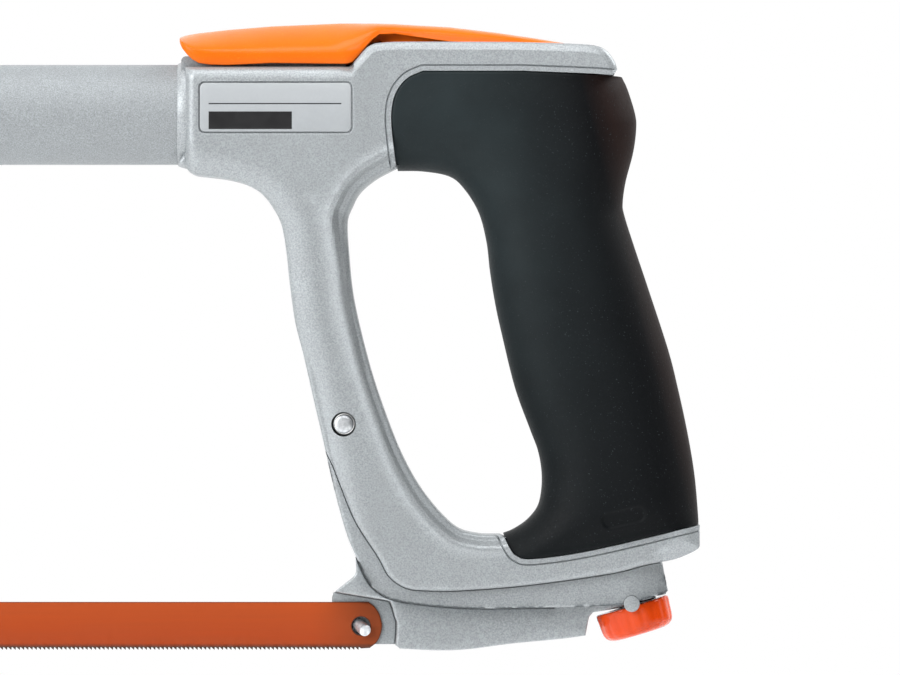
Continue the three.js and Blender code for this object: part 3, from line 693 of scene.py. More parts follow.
def tension_arm():
    seat_rows = [beside(seat_loop("rear"), d, True) for d in (-0.8, -0.5, -0.25, -0.1, 0)]
    body = relief("tension_arm_looks", [arm_loop], arm_height, rings=(0.04, 0.1, 0.22, 0.45), rows=seat_rows,
                  spacing=2.2)
    leg = ways([(-62.06, -32.1), (-54, -60.5), (-54, -70), (-46.8, -75.5), (-47.2, -60.5), (-53.86, -30.3)])
    flat = ways([on_rod(-0.35, -4), on_rod(-0.35, 4), on_rod(-4, 4), on_rod(-4, -4)])
    bar = combine(cross_rod(TAIL_BAR_RADIUS, ARM_TAIL, 10.0), [prism(flat, -9.6, 9.6)])
    x, z = ARM_TAIL
    discs = [bevelled_pin("disc", 2.0, (x, side * 9.7, z), (x, side * 10.4, z), bevel=0.25)
             for side in (-1, 1)]
    leg_parts = [prism(leg, -LEG_HALF, LEG_HALF), cross_rod(4.2, ARM_PIVOT, LEG_HALF)]
    combine(body, [*leg_parts, bar, *discs], "UNION")
    rod_slot = ways([on_rod(-3, -2.9), on_rod(-3, 4.8), on_rod(6, 4.8), on_rod(6, -2.9)])
    combine(body, [
        prism(rod_slot, -2.9, 2.9),
        prism(seat_loop("rear"), -THROUGH, SEAT_TRENCH),
        cross_rod(2.6, ARM_PIVOT, THROUGH),
    ])
    return seat_pad(body)


def seat_pad(body):
    """Puts the blade's bearing face in its seat, with a trench left round it and a pit round the pin."""
    x, z = HOLES["rear"]
    pad = np.maximum(beside(seat_loop("rear"), 0.4, True), (x - 7.0, -86.0))
    combine(body, [prism(pad, BLADE_HALF + 0.05, SEAT_TRENCH + 0.3)], "UNION")
    pit = rod(2.45, (x, -1, z), (x, 2.2, z))
    return combine(body, [pit, blade_pin("rear", BLADE_PIN_RADIUS, 8, -8)])


# ---- Blade ----

# The blade's rounded end: distance past the hole, and height
BLADE_END = [(1.85, BLADE_TOP), (3.4, -76.7), (4.6, -78.6), (5.25, -81.3), (4.9, -83.6), (3.9, -85.6),
             (2.2, -87)]
TOOTH_START = 1.2  # how far the teeth reach past the front hole
SET = 0.16


def tooth_line():
    """The teeth, from the front to the rear: an upright front face, a gullet and a sloping back on each."""
    front = HOLES["front"][0] - TOOTH_START
    teeth = []
    for i in range(int((HOLES["rear"][0] + 1.4 - front) / TOOTH_PITCH)):
        tip = front + i * TOOTH_PITCH
        teeth += [(tip, TOOTH_TIP), (tip + 0.08, TOOTH_ROOT + 0.02), (tip + 0.3 * TOOTH_PITCH, TOOTH_ROOT),
                  (tip + 0.6 * TOOTH_PITCH, TOOTH_ROOT - 0.28)]
    return np.array(teeth)


def blade():
    rear, front = HOLES["rear"][0], HOLES["front"][0]
    outer = loop(
        line((rear + BLADE_END[0][0], BLADE_TOP), (front - BLADE_END[0][0], BLADE_TOP), step=2.5),
        curve(*[(front - x, h) for x, h in BLADE_END], step=0.3),
        tooth_line(),
        curve(*[(rear + x, h) for x, h in reversed(BLADE_END)], step=0.3),
    )
    holes = [circle(centre, HOLE_RADIUS, 56) for centre in HOLES.values()]
    rows = [line((front - 1, h), (rear + 1.5, h), step=0.53) for h in (-86.5, -85.8)]

    def set_wave(points):
        x, h = points.T
        low = ease((-86.0 - h) / 1.3) * ease((rear - 1 - x) / 4) * ease((x - front - 1) / 4)
        return SET * low * np.sin(x / (3 * TOOTH_PITCH) * 2 * math.pi)

    def half(points):
        return BLADE_HALF - 0.07 * (1 - ease(edge_distance(points, outer) / 0.22))

    body = relief("blade_looks", [outer, *holes], lambda p: half(p) + set_wave(p), rings=(0.12, 0.3, 0.6),
                  rows=rows, spacing=3.0, far=lambda p: half(p) - set_wave(p))
    points = plane_points(body)
    mark(body, "rim", 1 - ease(edge_distance(points, outer[outer[:, 1] > -86.4]) / 0.3))
    mark(body, "teeth", ease((-86.3 - points[:, 1]) / 0.45))
    ring = np.min([edge_distance(points, hole) for hole in holes], axis=0)
    mark(body, "hole", 1 - ease(ring / 0.3))
    return body


# ---- Lever ----

# The lever's sections: place along the saw, top, crease, lower edge and half width
LEVER_SECTIONS = np.array([
    (-98.85, 65.6, 65.0, 64.0, 8.6), (-98.2, 65.9, 64.1, 62.6, 9.7), (-97, 66.2, 63.1, 61.1, 10.7),
    (-95.6, 66.45, 62.5, 59.8, 11.2), (-94, 66.7, 62.1, 58.9, 11.4), (-91, 67.05, 61.8, 58.5, 11.5),
    (-87, 67.5, 61.7, 58.4, 11.5), (-76, 68.4, 61.6, 58.9, 11.5), (-59, 69.1, 61.8, 58.7, 11.5),
    (-57, 69.12, 61.9, 58.75, 11.5), (-55.8, 69.12, 62.0, 59.15, 11.3), (-54, 69.12, 62.5, 61.1, 10.9),
    (-52.4, 69.1, 63.6, 63.0, 10.2), (-51, 69.1, 65.0, 64.6, 9.4), (-49.1, 69.05, 66.4, 66.1, 8.4),
    (-45.3, 68.95, 66.5, 66.3, 7.6), (-39.5, 68.6, 65.7, 65.4, 7.0), (-31.5, 68.15, 64.6, 64.3, 6.8),
    (-20, 66.8, 64.0, 63.6, 6.2), (-10, 65.35, 63.5, 63.1, 5.4), (-4, 64.35, 63.0, 62.7, 4.9),
    (-1.5, 63.95, 62.9, 62.7, 4.6),
])
LEVER_WALL = 1.6
CROWN_STEPS = 12


def lever_section(x):
    """Outer and inner points across the lever: skirt, crease, and a crowned top between the creases."""
    top, crease, low, half = (np.interp(x, LEVER_SECTIONS[:, 0], LEVER_SECTIONS[:, k]) for k in (1, 2, 3, 4))
    bend = np.interp(x, [-60, -50], [1.5, 0.8])
    angles = np.linspace(0, math.pi / 2, CROWN_STEPS + 1)[1:]
    crown = [(-half * math.cos(a) ** bend, crease + (top - crease) * math.sin(a) ** bend) for a in angles]
    skirt = [(-half + 0.35, low), (-half + 0.1, low + 0.1), (-half, low + 0.35 * min(1, crease - low)),
             (-half - 0.02, crease - 0.15 * (crease - low)), (-half + 0.02, crease)]
    near = skirt + crown
    outer = near + [(-y, z) for y, z in reversed(near[:-1])]
    thin = min(LEVER_WALL, 0.6 * (top - low))
    inner = [(y * (half - LEVER_WALL) / half, max(low, z - thin)) for y, z in outer]
    return outer + inner[::-1]


def lever_web():
    """The block under the lever's middle, that turns on the pivot and carries the crosshead pin."""
    x, z = LEVER_PIVOT
    turns = [math.radians(a) for a in range(165, 305, 15)]
    hub = [(x + 5.6 * math.cos(a), z + 5.6 * math.sin(a)) for a in turns]
    shape = ways([(-54.5, 67.6), (-54.5, 61.0), (-53.2, 62.3), (-51.8, 63.5), (-50.2, 64.2), (-48.7, 64.4),
                  (-48.7, 62), (-36, 56.5), *hub, (-14, 55.5), (-3.2, 62.9), (-14, 65.4), (-30, 67.4)])
    return relief("web", [shape], lambda p: 5.0 - rounding(edge_distance(p, shape), 0.5), rings=(0.1, 0.3),
                  spacing=3.0)


def tension_lever():
    """A skin lofted through the sections, closed at both ends, with the web and its bores."""
    stations = np.unique(np.concatenate([LEVER_SECTIONS[:, 0], np.arange(-98, -1.5, 1.2)]))
    rings = [[(x, y, z) for y, z in lever_section(x)] for x in stations]
    size = len(rings[0])
    vertices = [p for ring in rings for p in ring]
    faces = []
    for j in range(len(rings) - 1):
        for i in range(size):
            n = (i + 1) % size
            faces.append((j * size + i, (j + 1) * size + i, (j + 1) * size + n, j * size + n))
    half = size // 2
    for base in (0, (len(rings) - 1) * size):
        for i in range(half - 1):
            faces.append((base + i, base + i + 1, base + size - 2 - i, base + size - 1 - i))
    body = new_object("tension_lever_looks", vertices, faces)
    tidy(body)
    combine(body, [lever_web()], "UNION")
    return combine(body, [
        cross_rod(10.2, LEVER_PIVOT, 2.4, steps=72),
        cross_rod(LEVER_PIN_RADIUS + PIN_GAP, LEVER_PIVOT, THROUGH),
        cross_rod(CROSSHEAD_RADIUS + PIN_GAP, CROSSHEAD, THROUGH),
    ])


# ---- Knob, rod and small turned pieces ----

FLUTES = 18
FLUTE_DEPTH = 0.16


def tension_knob():
    """Round knob with a softly faceted rim, like a moulding with shallow flutes."""
    low, lip = KNOB_BOTTOM, KNOB_RADIUS
    profile = [(0, low), (5.6, low), (6.7, low + 0.1), (7.7, low + 0.45), (8.5, low + 1.05),
               (8.95, low + 1.9), (9.15, low + 3.0), (9.3, -2.6), (lip, -1.9), (lip, -1.2),
               (9.3, -0.85), (8.95, KNOB_TOP), (6, KNOB_TOP), (6, -1.95), (4.5, -1.95),
               (4.5, low + 1), (0, low + 1)]
    body = lathe("tension_knob_looks", profile, rod_point(0), ROD_AXIS, steps=144)
    flute(body)
    return body


def flute(body):
    """Draws the knob's rim in by a little, FLUTES times round it."""
    axis, centre = Vector(ROD_AXIS), Vector(rod_point(0)) * MM
    side = Vector((math.cos(ROD_LEAN), 0, math.sin(ROD_LEAN)))
    for v in body.data.vertices:
        rel = v.co - centre
        height = rel.dot(axis)
        out = rel - axis * height
        if out.length >= 8.0 * MM and (KNOB_BOTTOM + 0.8) * MM <= height <= -1.0 * MM:
            angle = math.atan2(out.y, out.dot(side))
            v.co -= out.normalized() * FLUTE_DEPTH * MM * (0.5 + 0.5 * math.cos(FLUTES * angle)) ** 2


def threaded(radius, low, high, pitch):
    """Profile points of a bar whose lower stretch is ringed like a thread."""
    points = [(0, low), (radius - 0.5, low)]
    root = radius - 0.3
    for i in range(int((high - low) / pitch)):
        h = low + (i + 0.5) * pitch
        points += [(root, h - 0.2 * pitch), (radius, h + 0.1 * pitch), (root, h + 0.4 * pitch)]
    return points + [(radius, high + 0.3)]


def tension_rod():
    """A threaded bar with a flat head, slotted across for the crosshead pin."""
    rise = (LEVER_PIVOT[1] - ARM_TAIL[1]) / math.cos(ROD_LEAN)
    pin = rise + 5 * math.cos(math.radians(8))
    neck = rise - 13
    head = ways([on_rod(height, side) for height, side in (
        (neck, -2.3), (neck, 2.3), (pin - 6, 2.3), (pin - 3.5, 5.8), (pin - 2, 6.9), (pin + 1.5, 6.9),
        (pin + 4.1, 4.2), (pin + 4.1, -1.6), (pin + 1.5, -4.3), (pin - 2, -4.3), (pin - 5, -2.3))])
    slot = ways([on_rod(height, side) for height, side in (
        (pin - 1.8, -2.5), (pin - 1.8, 5.2), (pin + 2.3, 5.2), (pin + 2.3, -2.5))])
    profile = threaded(ROD_RADIUS, -5.4, 14, 0.8) + [(ROD_RADIUS, neck + 2), (0, neck + 2)]
    shank = lathe("tension_rod_looks", profile, rod_point(0), ROD_AXIS, steps=40)
    flat = relief("rod_head", [head], lambda p: 2.0 - rounding(edge_distance(p, head), 0.3), rings=(0.1, 0.3),
                  spacing=3.0)
    combine(shank, [flat], "UNION")
    return combine(shank, [prism(slot, -5, 5)])


def arm_pivot_pin():
    """Peened pin with a waist between its ends: a low dome on the near side, in the ring cut round it."""
    face, r, waist = -11.0, 2.35, 1.9
    profile = [(0, 22.0), (r - 0.3, 22.0), (r, 21.7), (r, 21.2), (waist, 21.0), (waist, 1.1), (r, 0.9),
               (r, 0.75), (2.28, 0.42), (2.0, 0.2), (1.5, 0.06), (0.8, 0.01), (0, 0)]
    return lathe("arm_pivot_pin_looks", profile, (ARM_PIVOT[0], face, ARM_PIVOT[1]), (0, 1, 0))


def label_plate(name, side):
    """A plate in its recess, with a rounded edge on the side that shows: -1 is the near side, 1 the far."""
    inset = 0.32
    shape = rounded_box(LABEL_X[0] + inset, LABEL_X[1] - inset, LABEL_Z[0] + inset, LABEL_Z[1] - inset, 1.3)
    floor, top = HEAD_HALF - LABEL_RECESS + 0.04, HEAD_HALF - 0.12

    def face(points):
        return top - rounding(edge_distance(points, shape), 0.25)

    def back(points):
        return np.full(len(points), -floor)

    near, far = (face, back) if side < 0 else (back, face)
    return relief(name, [shape], near, rings=(0.06, 0.14, 0.25), spacing=2.0, far=far)


def top_tube():
    """A plain tube with its ends chamfered, and rings along it that keep its faces short."""
    low, high = TUBE_ENDS
    length = high - low
    end = [(TUBE_BORE, 0.4), (TUBE_BORE + 0.4, 0), (TUBE_RADIUS - 0.4, 0), (TUBE_RADIUS, 0.4)]
    profile = end + [(TUBE_RADIUS, 0.4 + (length - 0.8) * i / 30) for i in range(1, 30)]
    profile += [(r, length - h) for r, h in reversed(end)]
    body = lathe("top_tube_looks", profile, (low, 0, TUBE_Z), (1, 0, 0), steps=128)
    bore = CROSS_PIN_RADIUS + PIN_GAP
    return combine(body, [cross_rod(bore, (x, TUBE_Z), THROUGH) for x in CROSS_PINS.values()])


# ---- Front casting ----

FRONT_STRUT_FRONT = [(-370.8, 53), (-370.8, 36), (-369.8, 22), (-366, -5), (-364.4, -35), (-365.2, -60),
                     (-367.4, -76), (-367.9, -83), (-366.5, -87)]
FRONT_STRUT_REAR = [(-346.6, -75.5), (-347.4, -72.8), (-351.2, -64), (-351.2, -50), (-349, -25), (-347.6, 2),
                    (-345, 18), (-340, 27), (-333, 31.2), (-328, 31.2)]
FRONT_STRUT_HALF = 9.2
front_outer, front_inner = curve(*FRONT_STRUT_FRONT), curve(*FRONT_STRUT_REAR)
front_loop = loop(
    front_outer, line((-366.5, -87), (-362.3, -87.3), (-361.8, -86.1), (-346.5, -86.1), (-346.6, -75.5)),
    front_inner, line((-328, 31.2), (-328, 61)), line((-328, 61), (-366, 61)),
    curve((-366, 61), (-369.4, 59.2), (-370.8, 53)),
)


def front_height(points):
    """Wide at the socket, narrower down the strut and at the blade's seat, with soft strut edges."""
    z = points[:, 1]
    head = ease((z - 14) / 16)
    seat = ease((-66 - z) / 4)
    edge = edge_distance(points, front_loop)
    h = FRONT_STRUT_HALF + (GRIP_HALF - FRONT_STRUT_HALF) * head - (FRONT_STRUT_HALF - ARM_HALF) * seat
    h -= 1.9 * near_edge(distance(points, front_inner), 4.2) ** 1.5 * (1 - seat)
    h -= 1.6 * near_edge(distance(points, front_outer), 5.5) ** 2 * (1 - seat)
    return h - rounding(edge, 0.9) - head * 1.4 * near_edge(edge, 3.2) ** 2


def front_casting():
    body = relief("front_casting_looks", [front_loop], front_height,
                  rings=(0.08, 0.22, 0.45, 0.75, 1.1, 1.6, 2.2, 3.0, 4.0, 5.2), spacing=1.6)
    return combine(body, [
        rod(TUBE_RADIUS + TUBE_GAP, (TUBE_ENDS[0] - PIN_GAP, 0, TUBE_Z), (-325, 0, TUBE_Z), steps=96),
        prism(seat_loop("front"), -THROUGH, BLADE_HALF + 0.05),
        cross_rod(CROSS_PIN_RADIUS + PIN_GAP, (CROSS_PINS["front"], TUBE_Z), THROUGH),
        blade_pin("front", BLADE_PIN_RADIUS, 8, -8),
    ])


# ---- Materials ----

class Nodes:
    """A material's node tree, built by short calls. Noise and gradients lie in the object's own space."""

    def __init__(self, name):
        self.material = bpy.data.materials.new(name)
        self.material.use_nodes = True
        self.tree = self.material.node_tree
        self.shader = self.tree.nodes["Principled BSDF"]
        self.place = self.add("ShaderNodeTexCoord").outputs["Object"]

    def add(self, kind, **settings):
        node = self.tree.nodes.new(kind)
        for key, value in settings.items():
            setattr(node, key, value)
        return node

    def join(self, source, socket):
        if isinstance(source, (int, float, tuple)):
            socket.default_value = source
        else:
            self.tree.links.new(source, socket)

    def noise(self, scale, detail=2.0, rough=0.5, vector=None):
        node = self.add("ShaderNodeTexNoise")
        self.join(vector or self.place, node.inputs["Vector"])
        for key, value in (("Scale", scale), ("Detail", detail), ("Roughness", rough)):
            node.inputs[key].default_value = value
        return node.outputs["Fac"]

    def math(self, operation, *values, clamp=False):
        node = self.add("ShaderNodeMath", operation=operation, use_clamp=clamp)
        for value, socket in zip(values, node.inputs):
            self.join(value, socket)
        return node.outputs[0]

    def span(self, value, low, high, to_low=0.0, to_high=1.0):
        node = self.add("ShaderNodeMapRange", clamp=True)
        self.join(value, node.inputs["Value"])
        for key, number in (("From Min", low), ("From Max", high), ("To Min", to_low), ("To Max", to_high)):
            node.inputs[key].default_value = number
        return node.outputs["Result"]

    def mix(self, factor, a, b, blend="MIX"):
        node = self.add("ShaderNodeMix", data_type="RGBA", blend_type=blend)
        self.join(factor, node.inputs["Factor"])
        for socket, colour in ((node.inputs["A"], a), (node.inputs["B"], b)):
            self.join((*colour, 1.0) if isinstance(colour, tuple) and len(colour) == 3 else colour, socket)
        return node.outputs["Result"]

    def attribute(self, name):
        return self.add("ShaderNodeAttribute", attribute_name=name).outputs["Fac"]

    def axis(self, name):
        node = self.add("ShaderNodeSeparateXYZ")
        self.join(self.place, node.inputs[0])
        return node.outputs[name]

    def bump(self, height, strength, depth_mm):
        node = self.add("ShaderNodeBump")
        node.inputs["Strength"].default_value = strength
        node.inputs["Distance"].default_value = depth_mm * MM
        self.join(height, node.inputs["Height"])
        self.join(node.outputs["Normal"], self.shader.inputs["Normal"])

    def set(self, **values):
        for key, value in values.items():
            self.join(value, self.shader.inputs[key.replace("_", " ")])


def scaled(colour, by):
    return tuple(by * c for c in colour)


def silver_paint(name, shade, grain, rough):
    """Silver paint with bright and dark flakes, over a slightly rough casting."""
    m = Nodes(name)
    flakes = m.noise(2600 * grain, 2.0, 0.6)
    blotch = m.noise(160, 3.0)
    dark, light = scaled((0.68, 0.73, 0.76), shade), scaled((1.18, 1.27, 1.32), shade)
    colour = m.mix(m.span(flakes, 0.3, 0.72), dark, light)
    colour = m.mix(m.span(blotch, 0.35, 0.7, 0.0, 0.22), colour, scaled((0.80, 0.83, 0.86), shade))
    m.set(Base_Color=colour, Metallic=0.35, IOR=1.5,
          Roughness=m.span(flakes, 0.3, 0.7, rough + 0.07, rough - 0.07))
    height = m.math("ADD", m.noise(1500 * grain, 2.0, 0.55), m.math("MULTIPLY", m.noise(420, 2.0), 0.7))
    m.bump(height, 0.22, 0.12)
    return m.material


def black_rubber():
    """Black rubber with a painted grey sheen on its upper and front parts, and a painted brownish reflection
    at the back.
    """
    m = Nodes("black_rubber")
    grain = m.noise(1900, 3.0, 0.65)
    dust = m.span(m.noise(2400, 1.0, 0.4), 0.70, 0.78)
    height = m.axis("Z")
    back = m.math("MULTIPLY_ADD", height, 0.25, m.axis("X"))
    # Painted sheen: the rubber's colour is lighter towards its front and top, as if lit there, made patchy by
    # a coarse noise.
    painted_sheen = m.math("MULTIPLY", m.span(back, -0.012, 0.014, 1.0, 0.0), m.span(height, -0.055, 0.035, 0.15, 1.0))
    painted_sheen = m.math("MULTIPLY", painted_sheen, m.span(m.noise(90, 3.0), 0.3, 0.7, 0.75, 1.0))
    colour = m.mix(painted_sheen, (0.0010, 0.0015, 0.0021), (0.0150, 0.0215, 0.0235))
    # Painted reflection: a brownish tint along the rubber's rear edge.
    colour = m.mix(m.span(back, 0.0145, 0.020), colour, (0.0110, 0.0050, 0.0040))
    colour = m.mix(dust, colour, (0.022, 0.027, 0.029))
    m.set(Base_Color=colour, Roughness=m.span(grain, 0.3, 0.7, 0.5, 0.64), IOR=1.5)
    m.shader.inputs["Specular IOR Level"].default_value = 0.11
    m.bump(grain, 0.35, 0.10)
    return m.material


def lever_paint():
    m = Nodes("orange_lever_paint")
    cloud = m.noise(70, 2.0)
    colour = m.mix(m.span(cloud, 0.3, 0.7), (0.68, 0.118, 0.005), (0.74, 0.136, 0.007))
    colour = m.mix(m.span(m.noise(3000, 1.0), 0.66, 0.74, 0.0, 0.2), colour, (0.96, 0.33, 0.03))
    m.set(Base_Color=colour, Roughness=m.span(m.noise(400, 2.0), 0.3, 0.7, 0.2, 0.27), IOR=1.5)
    m.shader.inputs["Specular IOR Level"].default_value = 0.14
    m.bump(m.noise(260, 2.0), 0.12, 0.10)
    return m.material


def blade_lacquer():
    """Thin orange-brown lacquer: redder low down, painted shade at the rear end, darker at the rim, bare dark
    steel on the teeth.
    """
    m = Nodes("orange_brown_lacquer")
    low = m.span(m.axis("Z"), -0.0872, -0.0755)
    grind = m.add("ShaderNodeMapping")
    grind.inputs["Scale"].default_value = (30, 900, 900)
    m.join(m.place, grind.inputs["Vector"])
    streaks = m.noise(1.0, 3.0, 0.6, grind.outputs["Vector"])
    colour = m.mix(low, (0.29, 0.038, 0.006), (0.36, 0.054, 0.006))
    # Painted shade: the lacquer darkens towards the blade's rear end, where it sits in the arm's seat.
    colour = m.mix(m.span(m.axis("X"), -0.066, -0.050, 0.0, 0.75), colour, (0.15, 0.035, 0.008))
    colour = m.mix(m.span(streaks, 0.35, 0.65, 0.0, 0.3), colour, (0.27, 0.045, 0.008))
    colour = m.mix(m.math("MULTIPLY", m.attribute("rim"), 0.8), colour, (0.03, 0.012, 0.006))
    colour = m.mix(m.attribute("hole"), colour, (0.02, 0.008, 0.005))
    colour = m.mix(m.attribute("teeth"), colour, (0.05, 0.028, 0.02))
    m.set(Base_Color=colour, Roughness=m.span(streaks, 0.3, 0.7, 0.38, 0.5), IOR=1.5)
    m.shader.inputs["Specular IOR Level"].default_value = 0.22
    m.bump(streaks, 0.15, 0.04)
    return m.material


def knob_plastic():
    m = Nodes("red_orange_plastic")
    colour = m.mix(m.span(m.noise(140, 2.0), 0.3, 0.7), (0.54, 0.044, 0.004), (0.62, 0.058, 0.005))
    m.set(Base_Color=colour, Roughness=m.span(m.noise(600, 2.0), 0.3, 0.7, 0.12, 0.18), IOR=1.5)
    m.shader.inputs["Specular IOR Level"].default_value = 0.28
    m.bump(m.noise(350, 2.0), 0.1, 0.06)
    return m.material


def metal(name, light, dark, rough, scale):
    """Plated or turned metal: soft mottled patches and fine marks."""
    m = Nodes(name)
    patches = m.noise(scale, 4.0, 0.6)
    m.set(Base_Color=m.mix(m.span(patches, 0.3, 0.7), dark, light), Metallic=0.85,
          Roughness=m.span(m.noise(2200, 2.0), 0.3, 0.7, rough, rough + 0.14))
    m.bump(m.noise(1100, 3.0, 0.6), 0.3, 0.08)
    return m.material


def nylon():
    m = Nodes("natural_nylon")
    colour = m.mix(m.span(m.noise(200, 2.0), 0.3, 0.7), (0.62, 0.60, 0.54), (0.72, 0.70, 0.64))
    m.set(Base_Color=colour, Roughness=m.span(m.noise(900), 0.3, 0.7, 0.42, 0.55))
    m.bump(m.noise(1200, 2.0), 0.15, 0.05)
    return m.material


def label_print():
    """Silvery plate with a plain dark bar, and no lettering."""
    m = Nodes("silvery_label")
    x, z = m.axis("X"), m.axis("Z")

    def between(value, low, high, soft=0.00006):
        up = m.span(value, low - soft, low + soft)
        return m.math("MULTIPLY", up, m.span(value, high - soft, high + soft, 1.0, 0.0))

    base = m.mix(m.span(z, 0.0414, 0.0543), (0.31, 0.33, 0.345), (0.37, 0.39, 0.405))
    base = m.mix(m.span(m.noise(1500, 2.0), 0.35, 0.7, 0.0, 0.12), base, (0.42, 0.44, 0.455))
    bar = m.math("MULTIPLY", between(x, -0.0915, -0.0708), between(z, 0.0424, 0.0468))
    rule = m.math("MULTIPLY", between(x, -0.0915, -0.0585), between(z, 0.0486, 0.0489))
    colour = m.mix(m.math("ADD", bar, rule, clamp=True), base, (0.006, 0.006, 0.007))
    m.set(Base_Color=colour, Metallic=0.1, Roughness=m.span(m.noise(300), 0.3, 0.7, 0.34, 0.42))
    m.shader.inputs["Coat Weight"].default_value = 0.1
    m.shader.inputs["Coat Roughness"].default_value = 0.35
    m.bump(m.noise(500, 2.0), 0.06, 0.03)
    return m.material


def floor_paint():
    m = Nodes("pale_floor")
    colour = m.mix(m.noise(6, 2.0), (0.93, 0.93, 0.93), (0.95, 0.95, 0.95))
    m.set(Base_Color=colour, Roughness=0.9, Emission_Color=(1.0, 1.0, 1.0, 1.0), Emission_Strength=0.06)
    return m.material


# ---- Assembly ----

def build():
    casting_paint = silver_paint("silver_casting_paint", 0.33, 1.0, 0.43)
    tube_paint = silver_paint("silver_tube_paint", 0.29, 1.25, 0.62)
    zinc = metal("zinc_plate", (0.74, 0.76, 0.78), (0.38, 0.40, 0.42), 0.34, 900)
    steel = metal("bright_steel", (0.62, 0.63, 0.64), (0.48, 0.49, 0.50), 0.26, 300)
    brass = metal("turned_brass", (0.66, 0.46, 0.17), (0.50, 0.33, 0.11), 0.28, 260)
    place(handle_casting(), casting_paint, "root", ["handle_casting"])
    place(grip_sleeve(), black_rubber(), "root", ["grip_sleeve"])
    place(tension_arm(), casting_paint, "arm", ["tension_arm"])
    place(blade(), blade_lacquer(), "blade", ["blade"])
    place(tension_lever(), lever_paint(), "lever", ["tension_lever"], sharp=40)
    place(tension_knob(), knob_plastic(), "knob", ["tension_knob"])
    place(tension_rod(), steel, "rod", ["tension_rod"])
    place(arm_pivot_pin(), zinc, "root", ["arm_pivot_pin"])
    place(top_tube(), tube_paint, "root", ["top_tube"])
    place(front_casting(), casting_paint, "root", ["front_casting"])
    label = label_print()
    for side, node in ((-1, "label_plate_near"), (1, "label_plate_far")):
        place(label_plate(node + "_looks", side), label, "root", [node])
    small_pieces(zinc, steel, brass)


def small_pieces(zinc, steel, brass):
    for end, body in (("rear", "arm"), ("front", "root")):
        name = end + "_blade_pin"
        place(blade_pin(end, 1.5, 5.4, -2.6, name + "_looks"), zinc, body, [name])
    for end, half in (("rear", 13.5), ("front", 14.6)):
        name = end + "_cross_pin"
        ends = [(CROSS_PINS[end], y, TUBE_Z) for y in (-half, half)]
        place(bevelled_pin(name + "_looks", CROSS_PIN_RADIUS, *ends), steel, "root", [name])
    x, z = LEVER_PIVOT
    for side, name in ((-1, "lever_pin_near"), (1, "lever_pin_far")):
        pin = bevelled_pin(name + "_looks", LEVER_PIN_RADIUS, (x, side * 2.5, z), (x, side * 9.4, z))
        place(pin, steel, "root", [name])
    x, z = CROSSHEAD
    pin = bevelled_pin("crosshead_pin_looks", CROSSHEAD_RADIUS, (x, -4.9, z), (x, 4.9, z))
    place(pin, steel, "lever", ["crosshead_pin"])
    centre = rod_point(0)
    profile = [(2.7, 6.2), (2.9, 6), (3.8, 6), (4, 6.2), (4, 13.8), (3.8, 14), (2.9, 14), (2.7, 13.8)]
    bush = lathe("rod_guide_bush_looks", profile, centre, ROD_AXIS)
    place(bush, nylon(), "root", ["rod_guide_bush"])
    profile = [(2.8, -1.5), (2.95, -1.65), (5.4, -1.65), (5.6, -1.45), (5.6, -0.85), (5.4, -0.65),
               (2.95, -0.65), (2.8, -0.8)]
    washer = lathe("thrust_washer_looks", profile, centre, ROD_AXIS)
    place(washer, zinc, "washer", ["thrust_washer"])
    profile = [(2.6, -5.5), (2.8, -5.65), (4.0, -5.65), (4.2, -5.45), (4.2, -2.45), (4.0, -2.25),
               (2.8, -2.25), (2.6, -2.4)]
    nut = lathe("knob_nut_looks", profile, centre, ROD_AXIS)
    place(nut, brass, "knob", ["knob_nut"])


# ---- Studio ----

VIEW_CENTRE = (-0.0315, 0, -0.0094)
VIEW_WIDTH = 0.225
LENS = 400.0
SENSOR = 36.0
FLOOR_HALF = 3000.0
FLOOR_Z = -300.0
# Name, place, target, size and power of each soft light
SOFT_BOXES = [
    ("key", (-1.10, -0.95, 0.60), VIEW_CENTRE, (0.9, 1.0), 20.5),
    ("top", (-0.25, -0.35, 1.2), VIEW_CENTRE, (0.9, 0.6), 9),
    ("upper_front", (0.02, -0.36, 0.30), (-0.02, 0, 0.06), (0.2, 0.2), 0.65),
    ("upper_rear", (0.9, 0.15, 0.8), VIEW_CENTRE, (0.8, 0.8), 15),
]
# Surroundings' light along each axis: from and to where it changes, and its strength there
SKY = [("X", -0.8, 0.1, 0.80, 0.03), ("Y", 0.0, 0.6, 0.0, 1.5)]


def look_at(obj, target):
    obj.rotation_mode = "QUATERNION"
    obj.rotation_quaternion = (Vector(target) - obj.location).to_track_quat("-Z", "Y")


def soft_box(name, place_at, target, size, power):
    light = bpy.data.lights.new(name, "AREA")
    light.shape = "RECTANGLE"
    light.size, light.size_y = size
    light.energy = power
    obj = bpy.data.objects.new(name, light)
    obj.location = place_at
    look_at(obj, target)
    obj.visible_camera = False
    bpy.context.scene.collection.objects.link(obj)


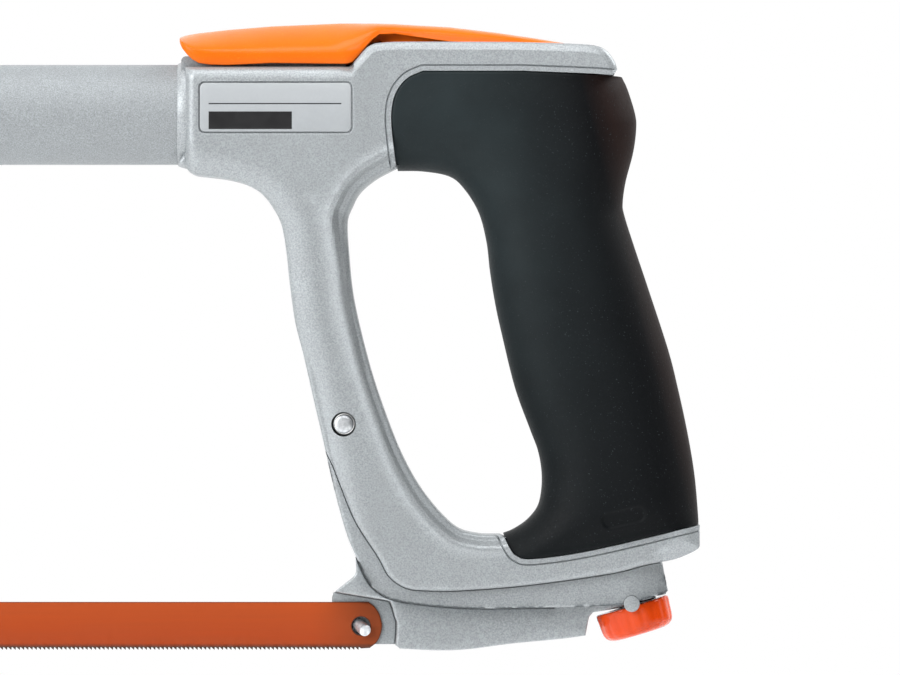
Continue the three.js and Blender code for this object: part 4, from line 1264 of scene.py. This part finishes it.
def studio():
    scene = bpy.context.scene
    camera = bpy.data.objects.new("camera", bpy.data.cameras.new("camera"))
    camera.data.lens, camera.data.sensor_width = LENS, SENSOR
    x, y, z = VIEW_CENTRE
    camera.location = (x, y - VIEW_WIDTH * LENS / SENSOR, z)
    look_at(camera, VIEW_CENTRE)
    camera.data.clip_end = 50
    scene.collection.objects.link(camera)
    scene.camera = camera
    scene.view_settings.view_transform = "Standard"
    for box in SOFT_BOXES:
        soft_box(*box)
    background(scene)
    corners = [(sx * FLOOR_HALF, sy * FLOOR_HALF, FLOOR_Z) for sx, sy in ((-1, -1), (1, -1), (1, 1), (-1, 1))]
    floor = new_object("floor", corners, [(0, 1, 2, 3)])
    floor.data.materials.append(floor_paint())


def background(scene):
    """White to the camera; to the object, lighter on the left and behind than on the right."""
    world = bpy.data.worlds.new("studio")
    scene.world = world
    world.use_nodes = True
    tree = world.node_tree
    tree.nodes.clear()
    add = tree.nodes.new
    out, choose, ray = add("ShaderNodeOutputWorld"), add("ShaderNodeMixShader"), add("ShaderNodeLightPath")
    white, soft = add("ShaderNodeBackground"), add("ShaderNodeBackground")
    white.inputs["Strength"].default_value = 1.0
    white.inputs["Color"].default_value = (1, 1, 1, 1)
    place_at, split = add("ShaderNodeTexCoord"), add("ShaderNodeSeparateXYZ")
    link = tree.links.new
    link(place_at.outputs["Generated"], split.inputs[0])
    total = add("ShaderNodeMath")
    for n, (axis, low, high, to_low, to_high) in enumerate(SKY):
        ramp = add("ShaderNodeMapRange")
        for key, value in (("From Min", low), ("From Max", high), ("To Min", to_low), ("To Max", to_high)):
            ramp.inputs[key].default_value = value
        link(split.outputs[axis], ramp.inputs["Value"])
        link(ramp.outputs["Result"], total.inputs[n])
    link(total.outputs[0], soft.inputs["Strength"])
    link(ray.outputs["Is Camera Ray"], choose.inputs[0])
    link(soft.outputs[0], choose.inputs[1])
    link(white.outputs[0], choose.inputs[2])
    link(choose.outputs[0], out.inputs["Surface"])


build()
studio()
